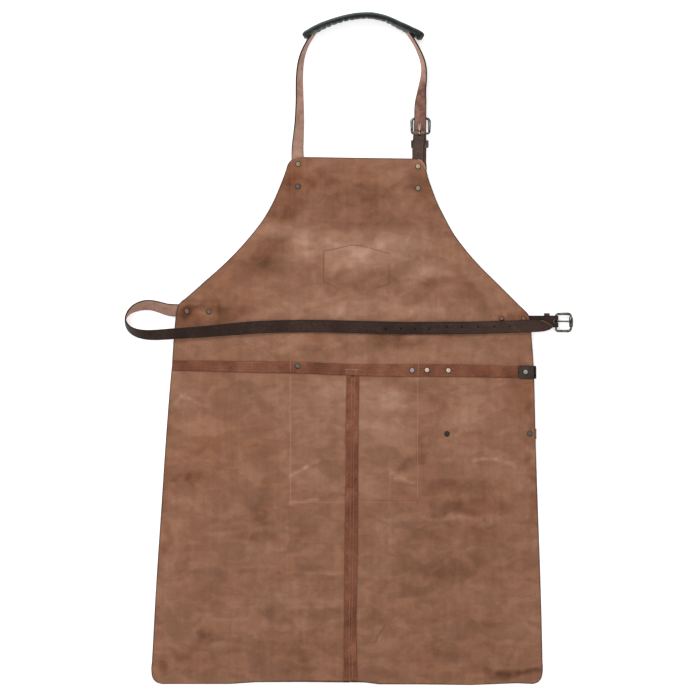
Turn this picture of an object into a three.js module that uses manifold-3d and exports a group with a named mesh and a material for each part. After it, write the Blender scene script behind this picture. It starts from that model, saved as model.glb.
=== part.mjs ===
// Leather grill apron laid out on its grain side, flesh side up.
// Millimetres. The floor is z = 0, +Y runs from the hem to the neck and +Z is up.
import * as THREE from "three";
import Module from "manifold-3d";

const wasm = await Module();
wasm.setup();

// Leather thicknesses and the gaps left between layers
const PANEL = 1.8;
const STRIP = 1.2;
const POCKET = 1.6;
const BAND = 1.6;
const STRAP = 2.2;
const TAB = 1.8;
const KEEPER = 1.2;
const GAP = 0.3;
const SEWN_GAP = 0.7;
const SEAM_GAP = 0.8;

// Widths of the straps and strips
const STRAP_WIDTH = 18.3;
const WAIST_STRIP_WIDTH = 16.5;
const CENTRE_STRIP_WIDTH = 19;
const UPPER_BAND_WIDTH = 19.6;
const LOWER_BAND_WIDTH = 16;

// Rivets: a flat cap on the floor side, a post, and a low head on the flesh side
const RIVET_RADIUS = 4.3;
const RIVET_RIM = 3.3;
const RIVET_PLATE = 1.2;
const POST_RADIUS = 1.6;
const POST_HOLE = 1.9;
const POST_TRIM = 0.05;
const RIVET_SIDES = 10;

// Buckle hardware
const WIRE = 1.6;
const FRAME_SIDES = 8;
const HEEL_CORNER = 2.2;
const END_CORNER = 4.8;
const RING_INNER = 1.95;
const RING_OUTER = 3.2;
const RING_WIDTH = 3.2;
const ROLLER_INNER = 1.95;
const ROLLER_OUTER = 3.05;
const ROLLER_LENGTH = 15;
const PRONG_ROOT = 1.0;
const PRONG_TIP = 0.75;
const SLOT_WIDTH = 4.6;

// Spacing of the sheets' points
const CELL = 30;
const STRIP_CELL = 22.5;

// Lifts of the panels over whatever lies beneath them.
// Columns: centre x, centre y, half length x, half length y, height, fade distance
const LIFTS = [
  [-77.5, 252, 10, 40, 4.4, 70],
  [106, 254, 9, 38, 8.6, 80],
  [-232, 57.4, 34, 11, 4.4, 75],
  [246, 43, 38, 11, 6.1, 80],
  [6.1, -130, 99, 109, 2.3, 60],
  [-78.1, -27.3, 14, 12, 3.8, 60],
  [95.8, -33.5, 12, 12, 3.8, 60],
  [196, -35, 90, 11, 3.8, 70],
  [213, -130, 76, 9, 3.8, 70],
];
const LIFT_POWER = 4;

// Soft folds of the leather. Columns: start x, y, end x, y, half width, height
const FOLDS = [
  [-70, 138, 78, 152, 62, 2.4],
  [-205, -150, -222, -430, 52, 2.8],
  [182, -235, 216, -450, 50, 2.6],
  [-104, -310, -72, -450, 40, 1.8],
  [74, -310, 92, -440, 38, 1.7],
];

// Waist seam. Columns: x, y
const WAIST_SEAM = [
  [-300, -25.4], [-257, -26.2], [-196, -27.3], [-135, -28.5], [-59, -30.2], [-13.7, -32.2],
  [47, -33.3], [77.5, -33.5], [184, -34.3], [230, -35.6], [300, -37.2],
];

const WAIST_SEAM_Y = -30;

// Centre seam. Columns: y, x
const CENTRE_SEAM = [
  [-520, 1.4], [-443, 1.9], [-352, 2.7], [-261, 3.7], [-185, 4.5], [-109, 4.9], [-56, 5.4], [-20, 5.6],
];

// Hem. Columns: x, y
const HEM = [
  [-284, -510.3], [-181, -510.3], [-141, -507.6], [-68, -506.6], [1.6, -506.6], [24, -507.2],
  [44, -510.2], [187, -511.9], [255, -509.2], [279.7, -510.3],
];

// Neck edge. Columns: x, y
const NECK_EDGE = [[-69.9, 290.7], [10, 289.6], [96, 288.2]];

// Bib outline in pairs from the waist seam up. Columns: left x, left y, right x, right y
const BIB_ROWS = [
  [-269.1, -25.6, 281.0, -36.4],
  [-267.7, -2.7, 279.6, -8.7],
  [-265.8, 20, 277.6, 15.6],
  [-264.1, 42, 276.6, 36],
  [-261.6, 58, 274.6, 46.6],
  [-258.6, 66.8, 271.8, 52.6],
  [-247.8, 76.4, 259.9, 64.2],
  [-234, 88.5, 247.8, 76.4],
  [-220.4, 100.7, 223.4, 100.7],
  [-193.0, 125.0, 199.1, 125.0],
  [-168.7, 149.3, 177.8, 149.3],
  [-147.4, 173.7, 159.6, 173.7],
  [-129.2, 198.0, 145.9, 198.0],
  [-115.5, 222.3, 133.8, 222.3],
  [-104.9, 246.6, 124.6, 246.6],
  [-99.8, 259.5, 120.4, 258.8],
  [-95.6, 271.2, 117.2, 271.5],
  [-92.4, 280.6, 114.2, 280.2],
  [-86.4, 286.8, 110.0, 285.5],
  [-78.0, 289.8, 104.0, 287.4],
  [-69.9, 290.7, 96.0, 288.2],
];

// Outer sides of the skirts from the hem up. Columns: left x, left y, right x, right y
const SKIRT_SIDES = [
  [-284, -510.3, 279.7, -510.3],
  [-292.5, -507.8, 287.6, -507.4],
  [-298.2, -501.6, 292.4, -501.2],
  [-300.4, -491, 294.4, -491],
  [-299.4, -473.9, 294.1, -473.9],
  [-293.2, -361.4, 291.2, -361.4],
  [-285.5, -245.9, 287.2, -245.9],
  [-277.7, -130.3, 283.4, -130.3],
  [-271.5, -51.3, 281.8, -57.4],
  [-269.2, -26.4, 281.1, -37.2],
];

// Ends of the seam strips and the gaps at their joints
const WAIST_STRIP_START = -268.2;
const CENTRE_STRIP_END = -505.4;
const STRIP_MIDDLE = 20;
const STRIP_JOINT_GAP = 0.6;
const BAND_JOINT_GAP = 1.2;

// Pocket corners and the ends of the two bands
const POCKET_LEFT = -91.2;
const POCKET_RIGHT = 103.4;
const POCKET_BOTTOM = -236.7;
const POCKET_OVER_SEAM = 5;
const POCKET_CELLS = 8;
const UPPER_BAND_START = 108;
const UPPER_BAND_TURN = 281.9;
const UPPER_BAND_END = 258.2;
const UPPER_BAND_DROP = -0.0195;
const UPPER_BAND_Y = -33.2;
const UPPER_BAND_CELLS = 9;
const UPPER_BAND_TURN_STEPS = 6;
const UPPER_BAND_TURN_REACH = 0.8;
const LOWER_BAND_START = 138.5;
const LOWER_BAND_END = 284.9;
const LOWER_BAND_Y = -130;

// Rivets. Columns: name, x, y, layers beneath the panel, layers on top of it
const UNDER_STRAP = SEWN_GAP + STRAP + GAP;
const UNDER_TAB = SEWN_GAP + TAB + GAP + TAB + GAP;
const UNDER_SEWN = SEWN_GAP + POCKET + GAP;
const OVER_PANEL = GAP;
const OVER_STRIP = SEWN_GAP + STRIP + GAP;
const OVER_BAND_END = SEWN_GAP + BAND + GAP;
const RIVETS = [
  ["rivet_neck_left_top", -77.1, 279.6, UNDER_STRAP, OVER_PANEL],
  ["rivet_neck_left_low", -77.5, 245.8, UNDER_STRAP, OVER_PANEL],
  ["rivet_neck_right_top", 104.9, 276.3, UNDER_TAB, OVER_PANEL],
  ["rivet_neck_right_low", 104.9, 242.9, UNDER_TAB, OVER_PANEL],
  ["rivet_waist_left_outer", -246.2, 56.0, UNDER_STRAP, OVER_PANEL],
  ["rivet_waist_left_inner", -213.1, 55.4, UNDER_STRAP, OVER_PANEL],
  ["rivet_waist_right_inner", 231.8, 45.4, UNDER_TAB, OVER_PANEL],
  ["rivet_waist_right_outer", 265.2, 44.2, UNDER_TAB, OVER_PANEL],
  ["rivet_pocket_left", -78.1, -27.3, UNDER_SEWN, OVER_STRIP],
  ["rivet_pocket_right", 95.8, -33.5, UNDER_SEWN, OVER_STRIP],
  ["rivet_upper_band_inner", 118.6, -33.1, UNDER_SEWN, OVER_STRIP],
  ["rivet_upper_band_middle", 150.9, -33.7, UNDER_SEWN, OVER_STRIP],
  ["rivet_upper_band_edge", 268.3, -36.0, UNDER_SEWN, OVER_BAND_END],
  ["rivet_lower_band_inner", 148.8, -130.0, UNDER_SEWN, OVER_PANEL],
  ["rivet_lower_band_outer", 274.7, -129.6, UNDER_SEWN, OVER_PANEL],
];

// Neck strap before and after the pad. Columns: x, y, centre z, roll in degrees
const NECK_LEFT = [
  [-78.3, 225.3, 2.65, 0], [-77.5, 246, 2.65, 0], [-77.5, 270, 2.65, 0], [-78.2, 291, 2.65, 1],
  [-78.2, 304.4, 3.4, 12], [-76.9, 322.6, 5.9, 29], [-75.6, 340.9, 7.2, 39], [-75.1, 359.1, 7.8, 46],
  [-75.0, 377.3, 8.2, 52], [-75.3, 395.6, 8.5, 55], [-75.2, 413.8, 8.7, 58], [-74.4, 426, 8.9, 61],
  [-72.4, 439, 9.1, 65], [-68.9, 450.5, 9.3, 69], [-64.2, 461.3, 9.7, 73], [-58.4, 470.8, 10.2, 75],
];
const NECK_INSIDE = [
  [-47, 485, 11.8, 79], [-32, 492.6, 12.6, 84], [-18.2, 497.8, 13.2, 87], [9.1, 504.1, 13.6, 88],
  [35, 505.1, 13.6, 88], [54.7, 500.9, 13.4, 86], [70, 493.8, 12.8, 82], [84.2, 485.6, 11.8, 79],
];
const NECK_RIGHT = [
  [94.2, 472.6, 10.2, 76], [101.6, 460.6, 9.6, 75], [106.6, 450.3, 9.4, 73], [110.4, 441.2, 9.2, 70],
  [112.9, 432, 9.1, 68], [114, 423, 9.1, 66], [113.7, 413.8, 9, 62], [112.8, 404.7, 8.7, 56],
  [111.3, 395.6, 8.5, 50], [110.2, 386.5, 8.0, 41], [109.3, 377.3, 7.4, 25], [108.6, 368.2, 7.0, 9],
  [108.3, 359.1, 7.4, 2], [108.3, 350, 7.6, 0], [108.1, 343.5, 6.7, 0], [107.9, 337, 4.9, 0],
  [107.9, 331, 2.95, 0], [108, 325, 2.1, 0], [108.2, 317, 2.7, 0], [108.3, 310, 2.75, 0],
  [108.3, 303, 2.75, 0], [108.3, 294, 1.9, 0], [108.3, 284, 1.15, 0], [108.2, 268, 1.15, 0],
];
const NECK_TIP = [[108.2, 262, 1.15, 0], [108.1, 257.5, 1.15, 0]];
const NECK_TIP_HALF = [6.2, 1.2];

// Padded sleeve of the neck loop. Columns: x, y, centre z, roll in degrees, share of the full section
const PAD = [
  [-69.4, 473.4, 13.5, 76, 0.62], [-66.8, 475.0, 13.5, 76, 0.9], [-60.4, 479.0, 13.5, 77, 1],
  [-44.1, 488.3, 13.6, 81, 1], [-18.2, 498.2, 13.7, 87, 1], [9.1, 504.5, 13.7, 88, 1],
  [35, 505.5, 13.7, 88, 1], [54.7, 501.2, 13.7, 86, 1], [77.5, 490.6, 13.6, 80, 1],
  [95.8, 481.5, 13.5, 75, 1], [107, 475.4, 13.4, 72, 1], [110.6, 473.4, 13.4, 72, 0.9],
  [112.9, 472.1, 13.4, 72, 0.62],
];
const PAD_HALF_WIDTH = 13.4;
const PAD_HALF_DEPTH = 4.6;
const PAD_SIDES = 12;
const PAD_PIECES = 2;
const PAD_SQUARENESS = 2.6;
const PAD_CLEARANCE = 0.45;
const ROWS_AT_PAD_END = 4;

// Waist strap.
// Columns: x, y, height of the centre over its support, roll in degrees, 1 where it lies on the panels
const WAIST = [
  [-203.7, 56.6, 2.65, 0, 0], [-225, 57, 2.65, 0, 0], [-249.3, 57.4, 2.65, 0, 0], [-264, 57.8, 2.65, 1, 0],
  [-275.1, 58.8, 4.4, 18, 0], [-287.3, 62.4, 5.9, 31, 0], [-299.4, 65.3, 6.5, 35, 0],
  [-311.6, 65.4, 7.1, 40, 0], [-321.6, 62.8, 8.2, 50, 0], [-329.4, 58.6, 9.0, 63, 0],
  [-335.6, 52.8, 9.5, 77, 0], [-339.5, 44.6, 9.6, 90, 0], [-337.8, 36.4, 9.6, 101, 0],
  [-333.2, 29.8, 9.2, 113, 0], [-325.2, 24.6, 8.5, 125, 0], [-312, 21.0, 7.4, 137, 0],
  [-296, 20.2, 7.4, 145, 0], [-281, 21, 9.2, 148, 0],
  [-264.5, 22.2, 6.6, 149, 1], [-237, 24.0, 5.7, 152, 1], [-209.8, 26.2, 4.9, 157, 1],
  [-175, 29.2, 3.1, 168, 1], [-139.8, 31.9, 1.6, 177, 1], [-117, 32.9, 1.2, 180, 1],
  [-54.7, 33.7, 1.2, 180, 1], [10, 32.4, 1.2, 180, 1], [68.4, 30.8, 1.2, 180, 1],
  [132.2, 30.6, 1.2, 180, 1], [180, 30.7, 1.2, 180, 1], [205, 31.1, 1.4, 180, 1], [231.8, 32.0, 2.0, 180, 1],
  [265.2, 33.0, 2.0, 180, 1], [281, 33.4, 9.6, 180, 0], [293, 33.8, 9.3, 180, 0], [300, 34.1, 9.4, 180, 0],
];
const WAIST_TIP = [[305, 34.3, 9.6, 180, 0], [309, 34.5, 9.75, 180, 0], [311.2, 34.6, 9.8, 180, 0]];
const WAIST_TIP_HALF = [7.2, 4.2, 1.1];
const WAIST_HOLES_X = [56.1, 79.0, 100.5, 121.8, 148.8, 171.5, 196.4, 220.7, 244.4];
const WAIST_HOLES_Y = [29.0, 28.9, 28.8, 28.8, 32.2, 32.3, 32.5, 32.8, 33.0];
const STRAP_HOLE = 1.5;
const STRAP_HOLE_SIDES = 8;
const STRAP_HOLE_BELOW = 3;
const STRAP_HOLE_ABOVE = 9;
const LYING_REACH = 12;

// Neck buckle, seen from its back: heel bar, end bar and the plane between them
const NECK_BUCKLE = { left: 95.7, right: 121.7, heelY: 326.2, heelZ: 7.4, endY: 349.1, endZ: 4.4 };
const BAR_CLEARANCE = 0.4;
const TAB_FOLD = WIRE + BAR_CLEARANCE + TAB / 2;
const NECK_TAB = { lowX: 104.9, highX: 106.4, width: 17.6 };
const NECK_TAB_LYING_Y = [214, 240, 266, 290];
const NECK_KEEPER = { left: 94.1, right: 120.9, low: 304.6, high: 316, bottom: 0.2, top: 7.6 };
const NECK_PRONG_X = 107.2;
const NECK_HOLE = { x: 107.2, y: 336.8, z: 4.8, halfX: 1.6, halfY: 4.4, halfZ: 3.4 };

// Neck tab outside the bib, up to the fold and back from it. Columns: y, centre z
const NECK_TAB_RISE = [[301, 8.2], [312, 9.6], [320, 10.3]];
const NECK_TAB_RETURN = [[319, 4.8], [312, 5.1], [301, 5.1]];

// Waist buckle: heel bar and end bar run along Y
const WAIST_BUCKLE = { low: 26.6, high: 51.7, heelX: 314.6, heelZ: 4.5, endX: 337.4, endZ: 5.6 };
const WAIST_TAB = { y: 40.6, width: 18 };
const WAIST_TAB_LYING_X = [208, 230, 254, 278];
const WAIST_KEEPER = { low: 27.6, high: 53.6, left: 296.4, right: 304.9, bottom: 0.2, top: 5.0 };
const WAIST_PRONG_Y = 41;
const WAIST_ROLLER_Y = 39.8;

// Waist tab outside the bib, up to the fold and back from it. Columns: x, centre z
const WAIST_TAB_RISE = [[287, 5.4], [296, 6.2], [305, 6.6]];
const WAIST_TAB_RETURN = [[305, 2.5], [296, 2.6], [287, 2.6]];

// Slots of the tabs for the prongs: reach before and after the heel bar, and the cut's heights
const NECK_SLOT = [-5, 9];
const WAIST_SLOT = [-9, 9];
const SLOT_HEIGHTS = [-1, 14];

// Prongs: where the pin leaves the eye, how far its tip passes the end bar and how high it lies
const NECK_PIN = { out: 2.5, drop: 0.6, past: 2.2, tipZ: 1.1 };
const WAIST_PIN = { out: 2.4, drop: 0.9, past: 2.6, tipZ: 1.05 };
const PIN_TAPER_AT = 0.8;
const PIN_TAPER = 0.92;
const PIN_SIDES = 8;
const EYE_SIDES = 14;
const ROLLER_SIDES = 20;
const KEEPER_CORNER = 1.6;
const CORNER_STEPS = 3;
const FOLD_STEPS = 6;

// Colours of the plain materials
const COLOURS = {
  suede: 0x966c58,
  strip: 0x7d4837,
  grain: 0x3a2c2a,
  strapLeather: 0x5a4640,
  pad: 0x2d3430,
  metal: 0x8d8a84,
  darkMetal: 0x4a4a46,
  paleMetal: 0xc9c0a8,
};

// Small vector and curve helpers
const vec = (x, y, z) => new THREE.Vector3(x, y, z);
const UP = vec(0, 0, 1);
const radians = THREE.MathUtils.degToRad;

function smooth(t) {
  const s = Math.min(1, Math.max(0, t));
  return s * s * (3 - 2 * s);
}

function along(table, key) {
  let i = 0;
  while (i < table.length - 2 && table[i + 1][0] < key) i += 1;
  const [x0, y0] = table[i];
  const [x1, y1] = table[i + 1];
  return y0 + ((y1 - y0) * (key - x0)) / (x1 - x0);
}

// Height of the panels' underside above the floor
function underside(x, y) {
  let sum = 0;
  for (const [cx, cy, halfX, halfY, height, fade] of LIFTS) {
    const dx = Math.max(0, Math.abs(x - cx) - halfX);
    const dy = Math.max(0, Math.abs(y - cy) - halfY);
    const rise = height * smooth(1 - Math.hypot(dx, dy) / fade);
    sum += rise ** LIFT_POWER;
  }
  let fold = 0;
  for (const [x0, y0, x1, y1, half, height] of FOLDS) {
    const lengthSquared = (x1 - x0) ** 2 + (y1 - y0) ** 2;
    const t = ((x - x0) * (x1 - x0) + (y - y0) * (y1 - y0)) / lengthSquared;
    const clamped = Math.min(1, Math.max(0, t));
    const away = Math.hypot(x - x0 - clamped * (x1 - x0), y - y0 - clamped * (y1 - y0));
    fold += height * smooth(1 - away / half);
  }
  return sum ** (1 / LIFT_POWER) + fold;
}

function panelTop(x, y) {
  return underside(x, y) + PANEL;
}

// Highest panel surface near a point, where a strap can lie
function lyingHeight(x, y) {
  let top = 0;
  for (const dx of [-LYING_REACH, 0, LYING_REACH]) {
    for (const dy of [-STRAP_WIDTH / 2, 0, STRAP_WIDTH / 2]) top = Math.max(top, panelTop(x + dx, y + dy));
  }
  return top;
}

// Solid from plain points and triangles, turned to face out
function solid(points, faces) {
  let volume = 0;
  for (const [a, b, c] of faces) volume += points[a].dot(points[b].clone().cross(points[c]));
  const facing = volume > 0 ? faces : faces.map(([a, b, c]) => [a, c, b]);
  return new wasm.Manifold(new wasm.Mesh({
    numProp: 3,
    vertProperties: new Float32Array(points.flatMap((p) => [p.x, p.y, p.z])),
    triVerts: new Uint32Array(facing.flat()),
  }));
}

// Loft through closed sections that all have the same number of points
function loft(sections, closed = false) {
  const sides = sections[0].length;
  const points = sections.flat();
  const faces = [];
  const spans = closed ? sections.length : sections.length - 1;
  for (let i = 0; i < spans; i += 1) {
    const here = i * sides;
    const next = ((i + 1) % sections.length) * sides;
    for (let j = 0; j < sides; j += 1) {
      const k = (j + 1) % sides;
      faces.push([here + j, here + k, next + k], [here + j, next + k, next + j]);
    }
  }
  if (!closed) {
    const last = (sections.length - 1) * sides;
    for (let j = 1; j < sides - 1; j += 1) {
      faces.push([0, j + 1, j], [last, last + j, last + j + 1]);
    }
  }
  return solid(points, faces);
}

// Flat bar section: centre, width direction, normal, half width and thickness
function barSection(centre, wide, normal, half, thick) {
  const corners = [[-1, -0.5], [1, -0.5], [1, 0.5], [-1, 0.5]];
  return corners.map(([w, n]) => {
    const corner = centre.clone().addScaledVector(wide, w * half);
    return corner.addScaledVector(normal, n * thick);
  });
}

// Grid sheet: base(u, v) gives the plan position and low(x, y) its underside
function sheet(base, columns, steps, low, thick) {
  const points = [];
  for (const lift of [0, thick]) {
    for (const v of steps) {
      for (let i = 0; i <= columns; i += 1) {
        const [x, y] = base(i / columns, v);
        points.push(vec(x, y, low(x, y) + lift));
      }
    }
  }
  const row = columns + 1;
  const layer = row * steps.length;
  const faces = [];
  const wall = (a, b) => faces.push([a, b, b + layer], [a, b + layer, a + layer]);
  for (let r = 0; r < steps.length - 1; r += 1) {
    for (let c = 0; c < columns; c += 1) {
      const a = r * row + c;
      faces.push([a, a + row + 1, a + 1], [a, a + row, a + row + 1]);
      const b = layer + a;
      faces.push([b, b + 1, b + row + 1], [b, b + row + 1, b + row]);
    }
    wall((r + 1) * row, r * row);
    wall(r * row + columns, (r + 1) * row + columns);
  }
  for (let c = 0; c < columns; c += 1) {
    wall(c, c + 1);
    wall(layer - row + c + 1, layer - row + c);
  }
  return solid(points, faces);
}

// Panel whose rows join paired side points and whose first and last rows follow given edges
function panel(rows, lowEdge, highEdge) {
  const lengths = [0];
  for (let i = 1; i < rows.length; i += 1) {
    const [ax, ay, bx, by] = rows[i - 1];
    const [cx, cy, dx, dy] = rows[i];
    lengths.push(lengths[i - 1] + Math.max(Math.hypot(cx - ax, cy - ay), Math.hypot(dx - bx, dy - by)));
  }
  const total = lengths[lengths.length - 1];
  const steps = [];
  for (let i = 0; i < rows.length - 1; i += 1) {
    const parts = Math.ceil((lengths[i + 1] - lengths[i]) / CELL);
    for (let j = 0; j < parts; j += 1) steps.push(i + j / parts);
  }
  steps.push(rows.length - 1);
  const [ax, ay, bx, by] = rows[0];
  const [cx, cy, dx, dy] = rows[rows.length - 1];
  const base = (u, step) => {
    const i = Math.min(rows.length - 2, Math.floor(step));
    const f = step - i;
    const side = rows[i].map((value, column) => value + (rows[i + 1][column] - value) * f);
    const v = (lengths[i] + (lengths[i + 1] - lengths[i]) * f) / total;
    const x = side[0] + (side[2] - side[0]) * u;
    const y = side[1] + (side[3] - side[1]) * u;
    const lowBend = lowEdge(ax + (bx - ax) * u) - (ay + (by - ay) * u);
    const highBend = highEdge(cx + (dx - cx) * u) - (cy + (dy - cy) * u);
    return [x, y + (1 - v) * lowBend + v * highBend];
  };
  const width = Math.max(...rows.map((r) => Math.abs(r[2] - r[0])));
  return sheet(base, Math.round(width / CELL), steps, underside, PANEL);
}

// Straight strip on or under the panels. The ends are [x, y]; low(x, y) is the underside
function strip(start, end, width, low, thick) {
  const length = Math.hypot(end[0] - start[0], end[1] - start[1]);
  const sideX = -(end[1] - start[1]) / length;
  const sideY = (end[0] - start[0]) / length;
  const count = Math.round(length / STRIP_CELL);
  const steps = Array.from({ length: count + 1 }, (_, i) => i / count);
  const base = (u, v) => [
    start[0] + (end[0] - start[0]) * v - sideX * width * (u - 0.5),
    start[1] + (end[1] - start[1]) * v - sideY * width * (u - 0.5),
  ];
  return sheet(base, 1, steps, low, thick);
}

// Ribbon through rows of x, y, z, roll. outer is +1 when the raised edge is left of the way it runs
function ribbon(rows, outer, halfWidths, thick) {
  const curve = new THREE.CatmullRomCurve3(rows.map((r) => vec(r[0], r[1], r[2])), false, "centripetal");
  const sections = rows.map(([, , , degrees], i) => {
    const t = i / (rows.length - 1);
    const roll = radians(degrees);
    const run = curve.getTangent(t);
    const flat = UP.clone().cross(run).normalize().multiplyScalar(outer);
    const wide = flat.clone().multiplyScalar(Math.cos(roll)).addScaledVector(UP, Math.sin(roll));
    const normal = wide.clone().cross(run).normalize();
    const across = run.clone().cross(normal).normalize();
    return barSection(curve.getPoint(t), across, normal, halfWidths[i], thick);
  });
  return loft(sections);
}

// Band bent in a plane: path of [a, z] pairs, where place(a, w, z) puts a point across the width w
function bentBand(path, half, thick, place, closed = false) {
  const count = path.length;
  const sections = path.map(([a, z], i) => {
    const before = path[closed ? (i + count - 1) % count : Math.max(0, i - 1)];
    const after = path[closed ? (i + 1) % count : Math.min(count - 1, i + 1)];
    const length = Math.hypot(after[0] - before[0], after[1] - before[1]);
    const na = -(after[1] - before[1]) / length;
    const nz = (after[0] - before[0]) / length;
    const first = Math.hypot(a - before[0], z - before[1]) || 1;
    const second = Math.hypot(after[0] - a, after[1] - z) || 1;
    const bend = ((a - before[0]) * (after[0] - a) + (z - before[1]) * (after[1] - z)) / (first * second);
    const mitre = i > 0 || closed ? Math.sqrt(2 / (1 + Math.min(1, Math.max(0, bend)))) : 1;
    const reach = (thick / 2) * (i === count - 1 && !closed ? 1 : mitre);
    const corners = [[-1, -1], [1, -1], [1, 1], [-1, 1]];
    return corners.map(([w, n]) => place(a + n * na * reach, w * half, z + n * nz * reach));
  });
  return loft(sections, closed);
}

// Half turn round a bar: points from the upper to the lower side of a fold that opens towards -a
function foldPoints(barA, barZ, radius) {
  const points = [];
  for (let i = 0; i <= FOLD_STEPS; i += 1) {
    const angle = Math.PI / 2 - (Math.PI * i) / FOLD_STEPS;
    points.push([barA + radius * Math.cos(angle), barZ + radius * Math.sin(angle)]);
  }
  return points;
}

// Rounded rectangle of [a, z] points, anticlockwise
function roundedRectangle(left, right, bottom, top, leftRadius, rightRadius) {
  const table = [
    [right - rightRadius, bottom + rightRadius, rightRadius, -90],
    [right - rightRadius, top - rightRadius, rightRadius, 0],
    [left + leftRadius, top - leftRadius, leftRadius, 90],
    [left + leftRadius, bottom + leftRadius, leftRadius, 180],
  ];
  const points = [];
  for (const [a, z, radius, start] of table) {
    for (let i = 0; i <= CORNER_STEPS; i += 1) {
      const angle = radians(start + (90 * i) / CORNER_STEPS);
      points.push([a + radius * Math.cos(angle), z + radius * Math.sin(angle)]);
    }
  }
  return points;
}

// Round wire ring through a closed list of points in a plane
function wireRing(points, planeNormal, radius) {
  const count = points.length;
  const sections = points.map((p, i) => {
    const run = points[(i + 1) % count].clone().sub(points[(i + count - 1) % count]).normalize();
    const inside = planeNormal.clone().cross(run).normalize();
    return circle(p, inside, planeNormal, radius, FRAME_SIDES);
  });
  return loft(sections, true);
}

function circle(centre, first, second, radius, sides) {
  const points = [];
  for (let j = 0; j < sides; j += 1) {
    const angle = (2 * Math.PI * j) / sides;
    const point = centre.clone().addScaledVector(first, radius * Math.cos(angle));
    points.push(point.addScaledVector(second, radius * Math.sin(angle)));
  }
  return points;
}

// Round bar with a radius at each of its stations along an axis
function turned(stations, first, second, sides) {
  return loft(stations.map(([centre, radius]) => circle(centre, first, second, radius, sides)));
}

// Hollow round sleeve along an axis
function sleeve(centre, axis, length, inner, outer, sides) {
  const first = Math.abs(axis.z) > 0.5 ? vec(1, 0, 0) : UP.clone();
  const second = axis.clone().cross(first).normalize();
  const sections = [];
  for (let j = 0; j < sides; j += 1) {
    const angle = (2 * Math.PI * j) / sides;
    const out = first.clone().multiplyScalar(Math.cos(angle)).addScaledVector(second, Math.sin(angle));
    const ends = [[inner, -0.5], [outer, -0.5], [outer, 0.5], [inner, 0.5]];
    sections.push(ends.map(([radius, end]) => {
      const point = centre.clone().addScaledVector(out, radius);
      return point.addScaledVector(axis, end * length);
    }));
  }
  return loft(sections, true);
}

function box(low, high) {
  const bottom = [vec(low[0], low[1], low[2]), vec(high[0], low[1], low[2]),
    vec(high[0], high[1], low[2]), vec(low[0], high[1], low[2])];
  return loft([bottom, bottom.map((p) => vec(p.x, p.y, high[2]))]);
}

// Upright round bar, used for rivets and for the holes cut for them
function upright(x, y, stations, sides) {
  return turned(stations.map(([z, radius]) => [vec(x, y, z), radius]), vec(1, 0, 0), vec(0, 1, 0), sides);
}

// Rivets and the posts that the layers are cut for
const rivets = RIVETS.map(([name, x, y, below, above]) => {
  const capTop = underside(x, y) - below;
  const headLow = panelTop(x, y) + above;
  const body = upright(x, y, [
    [capTop - RIVET_PLATE, RIVET_RADIUS], [capTop, RIVET_RADIUS],
    [capTop, POST_RADIUS], [headLow, POST_RADIUS],
    [headLow, RIVET_RADIUS], [headLow + RIVET_PLATE, RIVET_RIM],
  ], RIVET_SIDES);
  const holeEnds = [[capTop + POST_TRIM, POST_HOLE], [headLow - POST_TRIM, POST_HOLE]];
  const hole = upright(x, y, holeEnds, RIVET_SIDES);
  return { name, body, hole };
});

function drilled(body) {
  return rivets.reduce((result, rivet) => result.subtract(rivet.hole), body);
}

// Panels
const seamAbove = (x) => along(WAIST_SEAM, x) + SEAM_GAP / 2;
const seamBelow = (x) => along(WAIST_SEAM, x) - SEAM_GAP / 2;
const hem = (x) => along(HEM, x);
const centreX = (y) => along(CENTRE_SEAM, y);
const bib = panel(BIB_ROWS, seamAbove, (x) => along(NECK_EDGE, x));

function skirtRows(isLeft) {
  return SKIRT_SIDES.map(([leftX, leftY, rightX, rightY], i) => {
    const outerY = isLeft ? leftY : rightY;
    const last = i === SKIRT_SIDES.length - 1;
    const middle = isLeft ? -SEAM_GAP / 2 : SEAM_GAP / 2;
    const seamY = last ? seamBelow(centreX(WAIST_SEAM_Y)) : outerY;
    const hemY = i === 0 ? hem(centreX(outerY)) : seamY;
    const middleX = centreX(hemY) + middle;
    return isLeft ? [leftX, leftY, middleX, hemY] : [middleX, hemY, rightX, rightY];
  });
}
const skirtLeft = panel(skirtRows(true), hem, seamBelow);
const skirtRight = panel(skirtRows(false), hem, seamBelow);

// Seam strips on the flesh side
const onPanel = (x, y) => panelTop(x, y) + SEWN_GAP;
const seamPoint = (x) => [x, along(WAIST_SEAM, x)];
const centrePoint = (y) => [centreX(y), y];
const waistStrip = strip(seamPoint(WAIST_STRIP_START), seamPoint(UPPER_BAND_END - BAND_JOINT_GAP),
  WAIST_STRIP_WIDTH, onPanel, STRIP);
const centreTopY = along(WAIST_SEAM, STRIP_MIDDLE) - WAIST_STRIP_WIDTH / 2 - STRIP_JOINT_GAP;
const centreStrip = strip(centrePoint(centreTopY), centrePoint(CENTRE_STRIP_END),
  CENTRE_STRIP_WIDTH, onPanel, STRIP);

// Pocket and bands on the floor side
const underPanel = (x, y) => underside(x, y) - SEWN_GAP - POCKET;
const pocketWidth = POCKET_RIGHT - POCKET_LEFT;
const pocketSteps = Array.from({ length: POCKET_CELLS + 1 }, (_, i) => i / POCKET_CELLS);
const pocketBase = (u, v) => {
  const x = POCKET_LEFT + pocketWidth * u;
  const top = along(WAIST_SEAM, x) + POCKET_OVER_SEAM;
  return [x, POCKET_BOTTOM + (top - POCKET_BOTTOM) * v];
};
const pocket = sheet(pocketBase, POCKET_CELLS, pocketSteps, underPanel, POCKET);
const lowerBand = strip([LOWER_BAND_START, LOWER_BAND_Y], [LOWER_BAND_END, LOWER_BAND_Y],
  LOWER_BAND_WIDTH, underPanel, BAND);

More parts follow.
